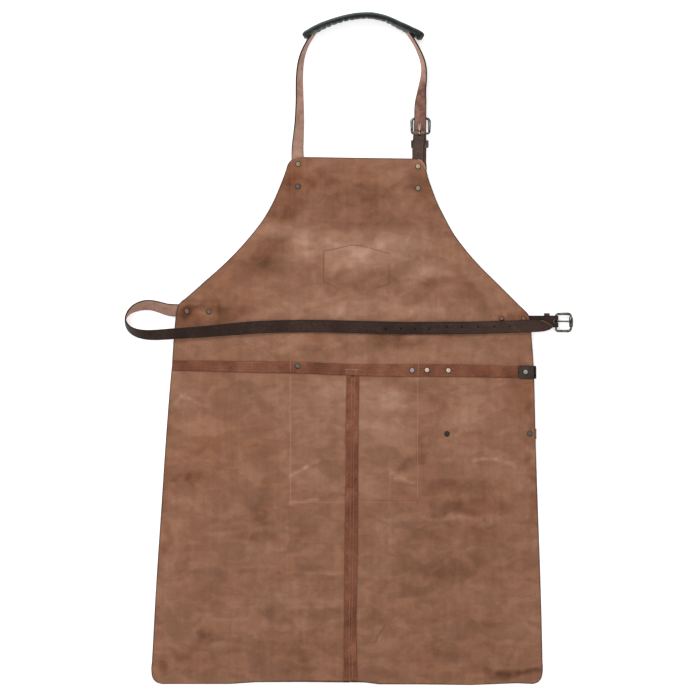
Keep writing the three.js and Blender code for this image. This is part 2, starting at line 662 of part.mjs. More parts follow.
// Upper band: runs under the panels, turns round the right edge and ends on the flesh side
function upperBandBody() {
  const path = [];
  const bandY = (x) => UPPER_BAND_Y + UPPER_BAND_DROP * (x - UPPER_BAND_START);
  const turnRadius = (PANEL + 2 * SEWN_GAP + BAND) / 2;
  for (let i = 0; i <= UPPER_BAND_CELLS; i += 1) {
    const x = UPPER_BAND_START + ((UPPER_BAND_TURN - UPPER_BAND_START) * i) / UPPER_BAND_CELLS;
    path.push([x, underPanel(x, bandY(x)) + BAND / 2]);
  }
  const turnZ = underside(UPPER_BAND_TURN, bandY(UPPER_BAND_TURN)) + PANEL / 2;
  for (let i = 1; i < UPPER_BAND_TURN_STEPS; i += 1) {
    const angle = radians(-90 + (180 * i) / UPPER_BAND_TURN_STEPS);
    const reach = turnRadius * Math.cos(angle) * UPPER_BAND_TURN_REACH;
    path.push([UPPER_BAND_TURN + reach, turnZ + turnRadius * Math.sin(angle)]);
  }
  for (const x of [UPPER_BAND_TURN, (UPPER_BAND_TURN + UPPER_BAND_END) / 2, UPPER_BAND_END]) {
    path.push([x, panelTop(x, bandY(x)) + SEWN_GAP + BAND / 2]);
  }
  return bentBand(path, UPPER_BAND_WIDTH / 2, BAND, (a, w, z) => vec(a, bandY(a) + w, z));
}
const upperBand = upperBandBody();

// Neck strap, its pad and the hole for the prong
const neckRows = [...NECK_LEFT, ...NECK_INSIDE, ...NECK_RIGHT, ...NECK_TIP];
const fullHalf = STRAP_WIDTH / 2;
const neckHalves = neckRows.map((_, i) => {
  const fromTip = i - (neckRows.length - NECK_TIP.length);
  return fromTip < 0 ? fullHalf : NECK_TIP_HALF[fromTip];
});
const prongHole = box(
  [NECK_HOLE.x - NECK_HOLE.halfX, NECK_HOLE.y - NECK_HOLE.halfY, NECK_HOLE.z - NECK_HOLE.halfZ],
  [NECK_HOLE.x + NECK_HOLE.halfX, NECK_HOLE.y + NECK_HOLE.halfY, NECK_HOLE.z + NECK_HOLE.halfZ],
);
const neckStrap = drilled(ribbon(neckRows, 1, neckHalves, STRAP).subtract(prongHole));
const insideRows = [
  ...NECK_LEFT.slice(-ROWS_AT_PAD_END), ...NECK_INSIDE, ...NECK_RIGHT.slice(0, ROWS_AT_PAD_END),
];
const insideHalves = insideRows.map(() => fullHalf + PAD_CLEARANCE);
const padChannel = ribbon(insideRows, 1, insideHalves, STRAP + 2 * PAD_CLEARANCE);

function padBody() {
  const curve = new THREE.CatmullRomCurve3(PAD.map((r) => vec(r[0], r[1], r[2])), false, "centripetal");
  const count = (PAD.length - 1) * PAD_PIECES;
  const sections = [];
  for (let i = 0; i <= count; i += 1) {
    const t = i / count;
    const row = Math.min(PAD.length - 2, Math.floor(t * (PAD.length - 1)));
    const f = t * (PAD.length - 1) - row;
    const roll = radians(PAD[row][3] + (PAD[row + 1][3] - PAD[row][3]) * f);
    const share = PAD[row][4] + (PAD[row + 1][4] - PAD[row][4]) * f;
    const run = curve.getTangent(t);
    const flat = UP.clone().cross(run).normalize();
    const wide = flat.clone().multiplyScalar(Math.cos(roll)).addScaledVector(UP, Math.sin(roll));
    const normal = wide.clone().cross(run).normalize();
    const centre = curve.getPoint(t);
    const ring = [];
    for (let j = 0; j < PAD_SIDES; j += 1) {
      const angle = (2 * Math.PI * j) / PAD_SIDES;
      const c = Math.cos(angle);
      const s = Math.sin(angle);
      const round = (Math.abs(c) ** PAD_SQUARENESS + Math.abs(s) ** PAD_SQUARENESS) ** (-1 / PAD_SQUARENESS);
      const a = c * round * PAD_HALF_WIDTH * share;
      const b = s * round * PAD_HALF_DEPTH * share;
      ring.push(centre.clone().addScaledVector(wide, a).addScaledVector(normal, b));
    }
    sections.push(ring);
  }
  return loft(sections);
}
const neckPad = padBody().subtract(padChannel);

// Waist strap: heights over the panels are counted from the highest panel surface near each row
const waistRows = [...WAIST, ...WAIST_TIP].map(([x, y, z, roll, lies]) => {
  const support = lies ? lyingHeight(x, y) + STRAP / 2 : 0;
  return [x, y, z + support, roll];
});
const waistHalves = waistRows.map((_, i) => {
  const fromTip = i - (waistRows.length - WAIST_TIP.length);
  return fromTip < 0 ? fullHalf : WAIST_TIP_HALF[fromTip];
});
const strapHoles = WAIST_HOLES_X.map((x, i) => {
  const z = lyingHeight(x, WAIST_HOLES_Y[i]);
  const ends = [[z - STRAP_HOLE_BELOW, STRAP_HOLE], [z + STRAP_HOLE_ABOVE, STRAP_HOLE]];
  return upright(x, WAIST_HOLES_Y[i], ends, STRAP_HOLE_SIDES);
});
const waistBand = ribbon(waistRows, -1, waistHalves, STRAP);
const waistStrap = drilled(strapHoles.reduce((body, hole) => body.subtract(hole), waistBand));

// Neck tab: one piece folded round the heel bar, both ends riveted under the bib
function neckTabBody() {
  const { lowX, highX, width } = NECK_TAB;
  const { heelY, heelZ } = NECK_BUCKLE;
  const { low } = NECK_KEEPER;
  const middle = (y) => lowX + (highX - lowX) * smooth((y - low) / (heelY - low));
  const upper = (y) => underside(middle(y), y) - SEWN_GAP - TAB / 2;
  const lower = (y) => upper(y) - TAB - GAP;
  const path = NECK_TAB_LYING_Y.map((y) => [y, upper(y)]);
  path.push(...NECK_TAB_RISE, ...foldPoints(heelY, heelZ, TAB_FOLD), ...NECK_TAB_RETURN);
  path.push(...NECK_TAB_LYING_Y.slice().reverse().map((y) => [y, lower(y)]));
  const body = bentBand(path, width / 2, TAB, (a, w, z) => vec(middle(a) + w, a, z));
  const slot = box(
    [NECK_PRONG_X - SLOT_WIDTH / 2, heelY + NECK_SLOT[0], SLOT_HEIGHTS[0]],
    [NECK_PRONG_X + SLOT_WIDTH / 2, heelY + NECK_SLOT[1], SLOT_HEIGHTS[1]],
  );
  return drilled(body.subtract(slot));
}

// Waist tab: the same, folded round the waist buckle's heel bar
function waistTabBody() {
  const { y, width } = WAIST_TAB;
  const { heelX, heelZ } = WAIST_BUCKLE;
  const upper = (x) => underside(x, y) - SEWN_GAP - TAB / 2;
  const lower = (x) => upper(x) - TAB - GAP;
  const path = WAIST_TAB_LYING_X.map((x) => [x, upper(x)]);
  path.push(...WAIST_TAB_RISE, ...foldPoints(heelX, heelZ, TAB_FOLD), ...WAIST_TAB_RETURN);
  path.push(...WAIST_TAB_LYING_X.slice().reverse().map((x) => [x, lower(x)]));
  const body = bentBand(path, width / 2, TAB, (a, w, z) => vec(a, y + w, z));
  const slot = box(
    [heelX + WAIST_SLOT[0], WAIST_PRONG_Y - SLOT_WIDTH / 2, SLOT_HEIGHTS[0]],
    [heelX + WAIST_SLOT[1], WAIST_PRONG_Y + SLOT_WIDTH / 2, SLOT_HEIGHTS[1]],
  );
  return drilled(body.subtract(slot));
}

// Keepers: closed loops round the front layer of each tab
const neckKeeperMiddle = (NECK_KEEPER.low + NECK_KEEPER.high) / 2;
const neckKeeper = bentBand(
  roundedRectangle(NECK_KEEPER.left + KEEPER / 2, NECK_KEEPER.right - KEEPER / 2,
    NECK_KEEPER.bottom + KEEPER / 2, NECK_KEEPER.top - KEEPER / 2, KEEPER_CORNER, KEEPER_CORNER),
  (NECK_KEEPER.high - NECK_KEEPER.low) / 2, KEEPER, (a, w, z) => vec(a, neckKeeperMiddle + w, z), true,
);
const waistKeeperMiddle = (WAIST_KEEPER.left + WAIST_KEEPER.right) / 2;
const waistKeeper = bentBand(
  roundedRectangle(WAIST_KEEPER.low + KEEPER / 2, WAIST_KEEPER.high - KEEPER / 2,
    WAIST_KEEPER.bottom + KEEPER / 2, WAIST_KEEPER.top - KEEPER / 2, KEEPER_CORNER, KEEPER_CORNER),
  (WAIST_KEEPER.right - WAIST_KEEPER.left) / 2, KEEPER, (a, w, z) => vec(waistKeeperMiddle + w, a, z), true,
);

// Buckle frame: rounded ring from the heel bar to the end bar. place(run, side) gives a point of its plane
function frameRing(length, low, high, place, planeNormal) {
  const outline = roundedRectangle(0, length, low, high, HEEL_CORNER, END_CORNER);
  return wireRing(outline.map(([run, side]) => place(run, side)), planeNormal, WIRE);
}

// Prong: an eye on the heel bar and a tapered pin
function prongBody(eye, axis, start, tip) {
  const run = tip.clone().sub(start).normalize();
  const second = run.clone().cross(axis).normalize();
  const shoulder = start.clone().lerp(tip, PIN_TAPER_AT);
  const stations = [[start, PRONG_ROOT], [shoulder, PRONG_ROOT * PIN_TAPER], [tip, PRONG_TIP]];
  const pin = turned(stations, axis, second, PIN_SIDES);
  return sleeve(eye, axis, RING_WIDTH, RING_INNER, RING_OUTER, EYE_SIDES).add(pin);
}

const neckRun = vec(0, NECK_BUCKLE.endY - NECK_BUCKLE.heelY, NECK_BUCKLE.endZ - NECK_BUCKLE.heelZ);
const neckLength = neckRun.length();
neckRun.normalize();
const neckHeel = vec(NECK_PRONG_X, NECK_BUCKLE.heelY, NECK_BUCKLE.heelZ);
const neckFrame = frameRing(neckLength, NECK_BUCKLE.left, NECK_BUCKLE.right,
  (run, side) => vec(side, NECK_BUCKLE.heelY, NECK_BUCKLE.heelZ).addScaledVector(neckRun, run),
  vec(1, 0, 0).cross(neckRun));
const neckPinStart = neckHeel.clone().add(vec(0, NECK_PIN.out, -NECK_PIN.drop));
const neckPinTip = vec(NECK_PRONG_X, NECK_BUCKLE.endY + NECK_PIN.past, NECK_PIN.tipZ);
const neckProng = prongBody(neckHeel, vec(1, 0, 0), neckPinStart, neckPinTip);

const waistRun = vec(WAIST_BUCKLE.endX - WAIST_BUCKLE.heelX, 0, WAIST_BUCKLE.endZ - WAIST_BUCKLE.heelZ);
const waistLength = waistRun.length();
waistRun.normalize();
const waistHeel = vec(WAIST_BUCKLE.heelX, WAIST_PRONG_Y, WAIST_BUCKLE.heelZ);
const waistFrame = frameRing(waistLength, WAIST_BUCKLE.low, WAIST_BUCKLE.high,
  (run, side) => vec(WAIST_BUCKLE.heelX, side, WAIST_BUCKLE.heelZ).addScaledVector(waistRun, run),
  waistRun.clone().cross(vec(0, 1, 0)));
const waistRoller = sleeve(vec(WAIST_BUCKLE.endX, WAIST_ROLLER_Y, WAIST_BUCKLE.endZ), vec(0, 1, 0),
  ROLLER_LENGTH, ROLLER_INNER, ROLLER_OUTER, ROLLER_SIDES);
const waistPinStart = waistHeel.clone().add(vec(WAIST_PIN.out, 0, -WAIST_PIN.drop));
const waistPinTip = vec(WAIST_BUCKLE.endX + WAIST_PIN.past, WAIST_PRONG_Y, WAIST_PIN.tipZ);
const waistProng = prongBody(waistHeel, vec(0, 1, 0), waistPinStart, waistPinTip);

// Every piece with its name and colour
const PIECES = [
  ["bib_panel", drilled(bib), "suede"],
  ["skirt_panel_left", drilled(skirtLeft), "suede"],
  ["skirt_panel_right", drilled(skirtRight), "suede"],
  ["waist_seam_strip", drilled(waistStrip), "strip"],
  ["centre_seam_strip", centreStrip, "strip"],
  ["front_pocket", drilled(pocket), "grain"],
  ["upper_band", drilled(upperBand), "grain"],
  ["lower_band", drilled(lowerBand), "grain"],
  ["neck_strap", neckStrap, "strapLeather"],
  ["neck_pad", neckPad, "pad"],
  ["neck_tab", neckTabBody(), "grain"],
  ["neck_keeper", neckKeeper, "grain"],
  ["neck_buckle_frame", neckFrame, "metal"],
  ["neck_buckle_prong", neckProng, "metal"],
  ["waist_strap", waistStrap, "strapLeather"],
  ["waist_tab", waistTabBody(), "grain"],
  ["waist_keeper", waistKeeper, "grain"],
  ["waist_buckle_frame", waistFrame, "metal"],
  ["waist_buckle_roller", waistRoller, "metal"],
  ["waist_buckle_prong", waistProng, "metal"],
];
const DARK_RIVETS = [
  "rivet_pocket_left", "rivet_pocket_right", "rivet_lower_band_inner", "rivet_lower_band_outer",
];
for (const { name, body } of rivets) {
  PIECES.push([name, body, DARK_RIVETS.includes(name) ? "darkMetal" : "paleMetal"]);
}

// One mesh for each piece, the whole set centred over its own footprint
const whole = new THREE.Box3();
for (const [, body] of PIECES) {
  const { min, max } = body.boundingBox();
  whole.expandByPoint(vec(...min));
  whole.expandByPoint(vec(...max));
}
const shift = vec(-(whole.min.x + whole.max.x) / 2, -(whole.min.y + whole.max.y) / 2, -whole.min.z);

const group = new THREE.Group();
group.name = "grill_apron";
for (const [name, body, colour] of PIECES) {
  const { vertProperties, triVerts, numProp } = body.getMesh();
  const positions = [];
  for (let i = 0; i < vertProperties.length; i += numProp) {
    const point = vec(vertProperties[i], vertProperties[i + 1], vertProperties[i + 2]).add(shift);
    positions.push(point.x, point.y, point.z);
  }
  const geometry = new THREE.BufferGeometry();
  geometry.setAttribute("position", new THREE.Float32BufferAttribute(positions, 3));
  geometry.setIndex(Array.from(triVerts));
  geometry.computeVertexNormals();
  const material = new THREE.MeshStandardMaterial({ color: COLOURS[colour], name: colour });
  const mesh = new THREE.Mesh(geometry, material);
  mesh.name = name;
  group.add(mesh);
}

export default group;
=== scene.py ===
"""Leather grill apron laid on its grain side, flesh side up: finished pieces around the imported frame."""
import math

import bpy
import numpy as np
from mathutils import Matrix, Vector, kdtree, noise


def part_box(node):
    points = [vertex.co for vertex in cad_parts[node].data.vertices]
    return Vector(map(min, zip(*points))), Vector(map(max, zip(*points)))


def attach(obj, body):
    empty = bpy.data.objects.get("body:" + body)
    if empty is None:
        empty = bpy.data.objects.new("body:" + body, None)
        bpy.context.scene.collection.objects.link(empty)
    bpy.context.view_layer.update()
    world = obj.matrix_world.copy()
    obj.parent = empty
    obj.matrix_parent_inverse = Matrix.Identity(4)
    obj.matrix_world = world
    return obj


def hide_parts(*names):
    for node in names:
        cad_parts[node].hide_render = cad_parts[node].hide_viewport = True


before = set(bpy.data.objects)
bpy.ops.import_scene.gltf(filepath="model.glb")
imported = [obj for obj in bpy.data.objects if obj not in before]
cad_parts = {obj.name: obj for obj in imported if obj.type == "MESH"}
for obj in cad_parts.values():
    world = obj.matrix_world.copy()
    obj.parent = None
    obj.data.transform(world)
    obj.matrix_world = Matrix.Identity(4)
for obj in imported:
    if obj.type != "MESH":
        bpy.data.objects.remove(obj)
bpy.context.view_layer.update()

# Tables and sizes below are in millimetres, in the drawing's own origin
MM = 0.001

# Leather thicknesses and gaps between layers
PANEL = 1.8
STRIP = 1.4
POCKET = 1.6
BAND = 1.6
STRAP = 2.2
TAB = 1.8
KEEPER = 1.2
GAP = 0.3
SEWN_GAP = 0.7
SEAM_GAP = 0.8
STRAP_HALF = 9.15
WAIST_HALF = 9.4

# Mesh spacing
CELL = 2.25
POCKET_CELL = 4.0
BAND_CELL = 2.0
STRAP_STEP = 2.6
PAD_STEP = 0.9
STRIP_STEP = 3.0

# Lifts of the panels over what lies beneath. Columns: centre x, y, half length x, y, height, fade
LIFTS = [
    (-77.5, 252, 10, 40, 4.4, 70),
    (106, 254, 9, 38, 8.6, 80),
    (-232, 57.4, 34, 11, 4.4, 75),
    (246, 43, 38, 11, 6.1, 80),
    (6.1, -130, 99, 109, 2.3, 60),
    (-78.1, -27.3, 14, 12, 3.8, 60),
    (95.8, -33.5, 12, 12, 3.8, 60),
    (196, -35, 90, 11, 3.8, 70),
    (213, -130, 76, 9, 3.8, 70),
]
LIFT_POWER = 4

# Soft folds of the whole leather. Columns: start x, y, end x, y, half width, height
FOLDS = [
    (-70, 138, 78, 152, 62, 2.4),
    (-205, -150, -222, -430, 52, 2.8),
    (182, -235, 216, -450, 50, 2.6),
    (-104, -310, -72, -450, 40, 1.8),
    (74, -310, 92, -440, 38, 1.7),
]

# Creases of the flesh side. Columns: start x, y, end x, y, half width, height, tone. The tone paints light on
# the raised creases and shade in the sunk ones
CREASES = [
    (-90, -196, -66, -180, 5, 0.6, 0.20),
    (-66, -180, -47, -171, 6, 0.4, 0.13),
    (-90, -237, -50, -229, 5, 0.4, 0.10),
    (-264, -82, -254, -74, 6, 0.5, 0.13),
    (-254, -74, -244, -76, 6, 0.5, 0.13),
    (-244, -76, -210, -92, 6, 0.4, 0.10),
    (70, -199, 100, -205, 5, 0.5, 0.18),
    (64, -190, 84, -198, 5, 0.4, 0.12),
    (190, -172, 204, -167, 5, 0.5, 0.16),
    (204, -167, 224, -168, 5, 0.5, 0.17),
    (224, -168, 252, -179, 5, 0.4, 0.13),
    (62, -188, 63, -298, 3.2, 0.3, 0.08),
    (-95, -246, -96, -338, 3.2, 0.3, 0.06),
    (-97, -341, -9, -342, 3.6, 0.3, 0.09),
    (39, -448, 55, -421, 2.6, -0.25, -0.14),
    (42, -449, 58, -422, 2.6, 0.2, 0.06),
    (225, -495, 290, -489, 7, -0.7, -0.26),
    (70, -48, 138, -86, 16, -0.8, -0.10),
]
# Ridges that the pocket's sewing and the straps' ends press through. Columns as above; the tone paints light
# on the ridges
SEWN_RIDGES = [
    (-89, -42, -89, -236, 2.6, 0.25, 0.12),
    (-89, -234, 4, -234, 2.6, 0.25, 0.12),
    (4, -234, 102, -235, 2.6, 0.15, 0.06),
    (104, -44, 104, -130, 2.6, 0.2, 0.08),
    (104, -130, 104, -236, 2.6, 0.15, 0.04),
    (-87, 284, -87, 214, 3, 0.2, 0.07),
    (-68, 288, -68, 220, 3, 0.2, 0.05),
    (-258, 68, -202, 67, 4, 0.3, 0.12),
    (-202, 67, -201, 45, 4, 0.3, 0.10),
]

# Broad patches of the flesh side; the first two rows are a paler and a darker band of painted light and shade
# over the soft fold across the bib. Columns: centre x, y, half length x, y, tone
TONES = [
    (10, 160, 110, 22, 0.09),
    (0, 215, 100, 34, -0.09),
    (10, 50, 190, 26, 0.04),
    (0, -90, 110, 60, 0.06),
    (-180, -300, 110, 90, -0.02),
    (150, -300, 130, 90, -0.06),
    (0, -470, 290, 40, -0.06),
    (-170, 110, 60, 36, -0.10),
    (8, 120, 52, 26, 0.10),
    (150, 110, 60, 36, 0.06),
]

# Smudges and worn places, with some painted light and shade of folds. Columns: x, y, half length, half width,
# turn in degrees, tone, warmth
SMUDGE_AND_SHADING_SHARE = 0.5
SMUDGES_AND_SHADING = [
    (-132, 136, 42, 20, 42, -0.40, 0.1),
    (-96, 221, 34, 24, 60, -0.30, 0.3),
    (-60, 258, 40, 22, 0, -0.26, 0.4),
    (-84, 266, 22, 24, 0, -0.26, 0.3),
    (-246, 56, 9, 7, 0, -0.7, 0.0),
    (8, 276, 24, 12, 0, -0.20, 0.1),
    (3, 239, 46, 20, 0, -0.18, 0.0),
    (118, 238, 20, 34, 15, -0.36, 0.0),
    (36, 195, 60, 12, 0, -0.18, 0.1),
    # Painted shade below the fold across the label
    (23, 106, 64, 13, 0, -0.26, -0.3),
    (129, 82, 26, 14, -10, -0.34, 0.0),
    (190, 80, 34, 14, -35, -0.30, 0.0),
    (150, 100, 40, 10, 5, -0.16, 0.0),
    (-52, 6, 20, 16, 0, -0.26, -0.1),
    (80, 13, 40, 12, 0, -0.36, -0.1),
    (-236, 54, 46, 18, 0, -0.60, 0.3),
    (-166, 58, 34, 12, 0, -0.36, 0.3),
    (-205, 78, 40, 10, 40, -0.16, 0.3),
    (-70, 161, 12, 36, 0, 0.22, 0.0),
    (-111, 178, 44, 16, 25, 0.26, 0.1),
    # Painted light on the fold across the label, here and in the next row
    (8, 154, 48, 10, 0, 0.30, 0.0),
    (8, 138, 44, 12, 0, 0.16, 0.0),
    (93, 156, 34, 20, 20, 0.22, 0.0),
    (114, 114, 38, 14, 10, 0.24, 0.0),
    (8, 63, 122, 16, 0, 0.18, 0.1),
    (114, 52, 46, 12, 0, 0.18, 0.1),
    (-176, 96, 38, 16, 35, 0.16, 0.2),
    (236, 63, 20, 12, 0, 0.16, 0.4),
    (236, 49, 11, 9, 0, -0.26, 1.4),
    (263, 51, 12, 9, 0, -0.40, 1.4),
    (-200, -160, 80, 45, 0, -0.04, 0.6),
    (-245, -193, 30, 7, 0, -0.40, 0.2),
    (-140, -240, 18, 26, 0, -0.32, -0.2),
    (-125, -290, 22, 10, -20, -0.34, -0.1),
    (-170, -286, 20, 7, 0, -0.28, 0.0),
    (-70, -285, 22, 8, 0, -0.22, 0.0),
    (-35, -358, 18, 15, 0, -0.24, 0.0),
    (-70, -405, 60, 9, 0, -0.24, 0.0),
    (-217, -436, 22, 13, 0, -0.26, -0.2),
    (-245, -471, 32, 8, -8, -0.28, -0.2),
    (-85, -475, 18, 14, 0, -0.26, 0.0),
    (43, -405, 26, 12, 0, -0.22, 0.0),
    (108, -150, 10, 30, 0, -0.26, 0.0),
    (85, -180, 22, 6, 35, -0.22, 0.0),
    (155, -203, 40, 11, 0, -0.24, 0.1),
    (185, -243, 70, 10, 0, -0.32, 0.0),
    (175, -281, 48, 16, 0, -0.24, 0.1),
    (155, -336, 56, 14, 0, -0.20, 0.0),
    (93, -363, 22, 12, 0, -0.22, 0.0),
    (190, -413, 62, 13, 0, -0.20, 0.0),
    (150, -462, 60, 9, 0, -0.16, 0.1),
    # Painted shade along the fold at the hem's right corner
    (240, -495, 30, 6, 5, -0.40, 0.2),
    (262, -66, 20, 40, 0, -0.28, 0.1),
    (276, -180, 10, 120, 0, -0.30, 0.1),
    (-282, -200, 9, 110, 0, -0.22, 0.2),
    (-290, -410, 8, 14, 0, -0.34, 0.0),
    (-290, -483, 9, 10, 0, -0.40, 0.0),
    (-23, -56, 22, 15, 0, 0.22, 0.0),
    (58, -82, 46, 18, -15, 0.24, 0.0),
    (38, -118, 36, 11, 0, 0.16, 0.0),
    (-213, -115, 46, 24, 0, 0.12, 0.3),
    (193, -100, 46, 20, 0, 0.12, 0.0),
    (-50, -200, 30, 14, 0, 0.20, 0.1),
    (40, -196, 36, 12, 0, 0.16, 0.0),
    (182, -257, 64, 5, 0, 0.26, 0.2),
    (-245, -258, 34, 26, 0, 0.14, 0.2),
    (60, -300, 16, 60, 0, 0.12, 0.0),
]

# Dark line along the panels' edges, and the pale worn stretches at the bib's upper corners
EDGE_LINE = 2.2
EDGE_TONE = -0.45
# Columns: low x, high x, low y, tone
WORN_CORNERS = [
    (104.0, 130.0, 272.0, 0.45),
    (-86.0, -68.0, 284.0, 0.10),
]

WAIST_SEAM = [
    (-300, -25.4), (-257, -26.2), (-196, -27.3), (-135, -28.5), (-59, -30.2), (-13.7, -32.2),
    (47, -33.3), (77.5, -33.5), (184, -34.3), (230, -35.6), (300, -37.2),
]
CENTRE_SEAM = [
    (-520, 1.4), (-443, 1.9), (-352, 2.7), (-261, 3.7), (-185, 4.5), (-109, 4.9), (-56, 5.4), (-20, 5.6),
]
HEM = [
    (-284, -510.3), (-181, -510.3), (-141, -507.6), (-68, -506.6), (1.6, -506.6), (24, -507.2),
    (44, -510.2), (187, -511.9), (255, -509.2), (279.7, -510.3),
]
NECK_EDGE = [(-69.9, 290.7), (10, 289.6), (96, 288.2)]

# Bib outline in pairs from the waist seam up. Columns: left x, left y, right x, right y
BIB_ROWS = [
    (-269.1, -25.6, 281.0, -36.4),
    (-267.7, -2.7, 279.6, -8.7),
    (-265.8, 20, 277.6, 15.6),
    (-264.1, 42, 276.6, 36),
    (-261.6, 58, 274.6, 46.6),
    (-258.6, 66.8, 271.8, 52.6),
    (-247.8, 76.4, 259.9, 64.2),
    (-234, 88.5, 247.8, 76.4),
    (-220.4, 100.7, 223.4, 100.7),
    (-193.0, 125.0, 199.1, 125.0),
    (-168.7, 149.3, 177.8, 149.3),
    (-147.4, 173.7, 159.6, 173.7),
    (-129.2, 198.0, 145.9, 198.0),
    (-115.5, 222.3, 133.8, 222.3),
    (-104.9, 246.6, 124.6, 246.6),
    (-99.8, 259.5, 120.4, 258.8),
    (-95.6, 271.2, 117.2, 271.5),
    (-92.4, 280.6, 114.2, 280.2),
    (-86.4, 286.8, 110.0, 285.5),
    (-78.0, 289.8, 104.0, 287.4),
    (-69.9, 290.7, 96.0, 288.2),
]

# Outer sides of the skirts from the hem up. Columns: left x, left y, right x, right y
SKIRT_SIDES = [
    (-284, -510.3, 279.7, -510.3),
    (-292.5, -507.8, 287.6, -507.4),
    (-298.2, -501.6, 292.4, -501.2),
    (-300.4, -491, 294.4, -491),
    (-299.4, -473.9, 294.1, -473.9),
    (-293.2, -361.4, 291.2, -361.4),
    (-285.5, -245.9, 287.2, -245.9),
    (-277.7, -130.3, 283.4, -130.3),
    (-271.5, -51.3, 281.8, -57.4),
    (-269.2, -26.4, 281.1, -37.2),
]

# Upper and lower edges of the waist strip. Columns: x, upper y, lower y
WAIST_STRIP = [
    (-268.2, -18.3, -33.6), (-256.9, -18.6, -33.8), (-196.1, -19.4, -35.3), (-135.3, -20.1, -36.9),
    (-59.3, -21.2, -38.6), (-13.7, -23.4, -40.6), (47.1, -24.2, -42.4), (77.5, -24.4, -42.7),
    (183.9, -25.0, -43.5), (229.5, -26.8, -44.3), (257.0, -27.6, -45.0),
]
# Left and right edges of the centre strip. Columns: y, left x, right x
CENTRE_STRIP = [
    (-505.4, -7.6, 12.6), (-443.5, -7.6, 11.1), (-352.3, -6.8, 12.2), (-261.1, -6.0, 13.4),
    (-185.1, -4.6, 13.7), (-109.1, -4.9, 14.1), (-55.9, -3.8, 15.2), (-43.0, -3.6, 15.0),
]

POCKET_LEFT = -91.2
POCKET_RIGHT = 103.4
POCKET_BOTTOM = -236.7
POCKET_OVERLAP = 5
UPPER_BAND_START = 108
UPPER_BAND_TURN = 281.9
UPPER_BAND_END = 258.2
UPPER_BAND_DROP = -0.0195
UPPER_BAND_Y = -33.2
UPPER_BAND_HALF = 9.8
LOWER_BAND_START = 138.5
LOWER_BAND_END = 284.9
LOWER_BAND_Y = -130
LOWER_BAND_HALF = 8

# Rivets. Columns: name, x, y, layers beneath the panel, layers on top of it, finish
UNDER_STRAP = SEWN_GAP + STRAP + GAP
UNDER_TAB = SEWN_GAP + TAB + GAP + TAB + GAP
UNDER_SEWN = SEWN_GAP + POCKET + GAP
OVER_PANEL = GAP
OVER_STRIP = 2.2
OVER_BAND_END = SEWN_GAP + BAND + GAP
RIVETS = [
    ("neck_left_top", -77.1, 279.6, UNDER_STRAP, OVER_PANEL, "sage"),
    ("neck_left_low", -77.5, 245.8, UNDER_STRAP, OVER_PANEL, "slate"),
    ("neck_right_top", 104.9, 276.3, UNDER_TAB, OVER_PANEL, "beige"),
    ("neck_right_low", 104.9, 242.9, UNDER_TAB, OVER_PANEL, "sage"),
    ("waist_left_outer", -246.2, 56.0, UNDER_STRAP, OVER_PANEL, "rose"),
    ("waist_left_inner", -213.1, 55.4, UNDER_STRAP, OVER_PANEL, "olive"),
    ("waist_right_inner", 231.8, 45.4, UNDER_TAB, OVER_PANEL, "russet"),
    ("waist_right_outer", 265.2, 44.2, UNDER_TAB, OVER_PANEL, "russet"),
    ("pocket_left", -78.1, -27.3, UNDER_SEWN, OVER_STRIP, "green"),
    ("pocket_right", 95.8, -33.5, UNDER_SEWN, OVER_STRIP, "silver"),
    ("upper_band_inner", 118.6, -33.1, UNDER_SEWN, OVER_STRIP, "cream"),
    ("upper_band_middle", 150.9, -33.7, UNDER_SEWN, OVER_STRIP, "cream"),
    ("upper_band_edge", 268.3, -36.0, UNDER_SEWN, OVER_BAND_END, "grey"),
    ("lower_band_inner", 148.8, -130.0, UNDER_SEWN, OVER_PANEL, "black"),
    ("lower_band_outer", 274.7, -129.6, UNDER_SEWN, OVER_PANEL, "slate"),
]
RIVET_PLATE = 1.2
POST_RADIUS = 1.6
# Half profiles. Columns: radius, height over the cap's floor side or over the washer's foot
RIVET_CAP = [(0.4, 0), (2.4, 0.02), (3.9, 0.18), (4.3, 0.55), (4.15, RIVET_PLATE), (POST_RADIUS, RIVET_PLATE)]
RIVET_HEAD = [
    (POST_RADIUS, -0.25), (4.1, -0.25), (4.3, 0), (4.15, 0.22), (3.65, 0.26), (3.5, 0.2), (3.4, 0.4),
    (3.2, 0.66), (2.6, 0.92), (1.7, 1.1), (1.1, 1.14), (0.8, 1.02), (0.3, 0.98),
]
DOME_RADIUS = 3.38
RIVET_SIDES = 28

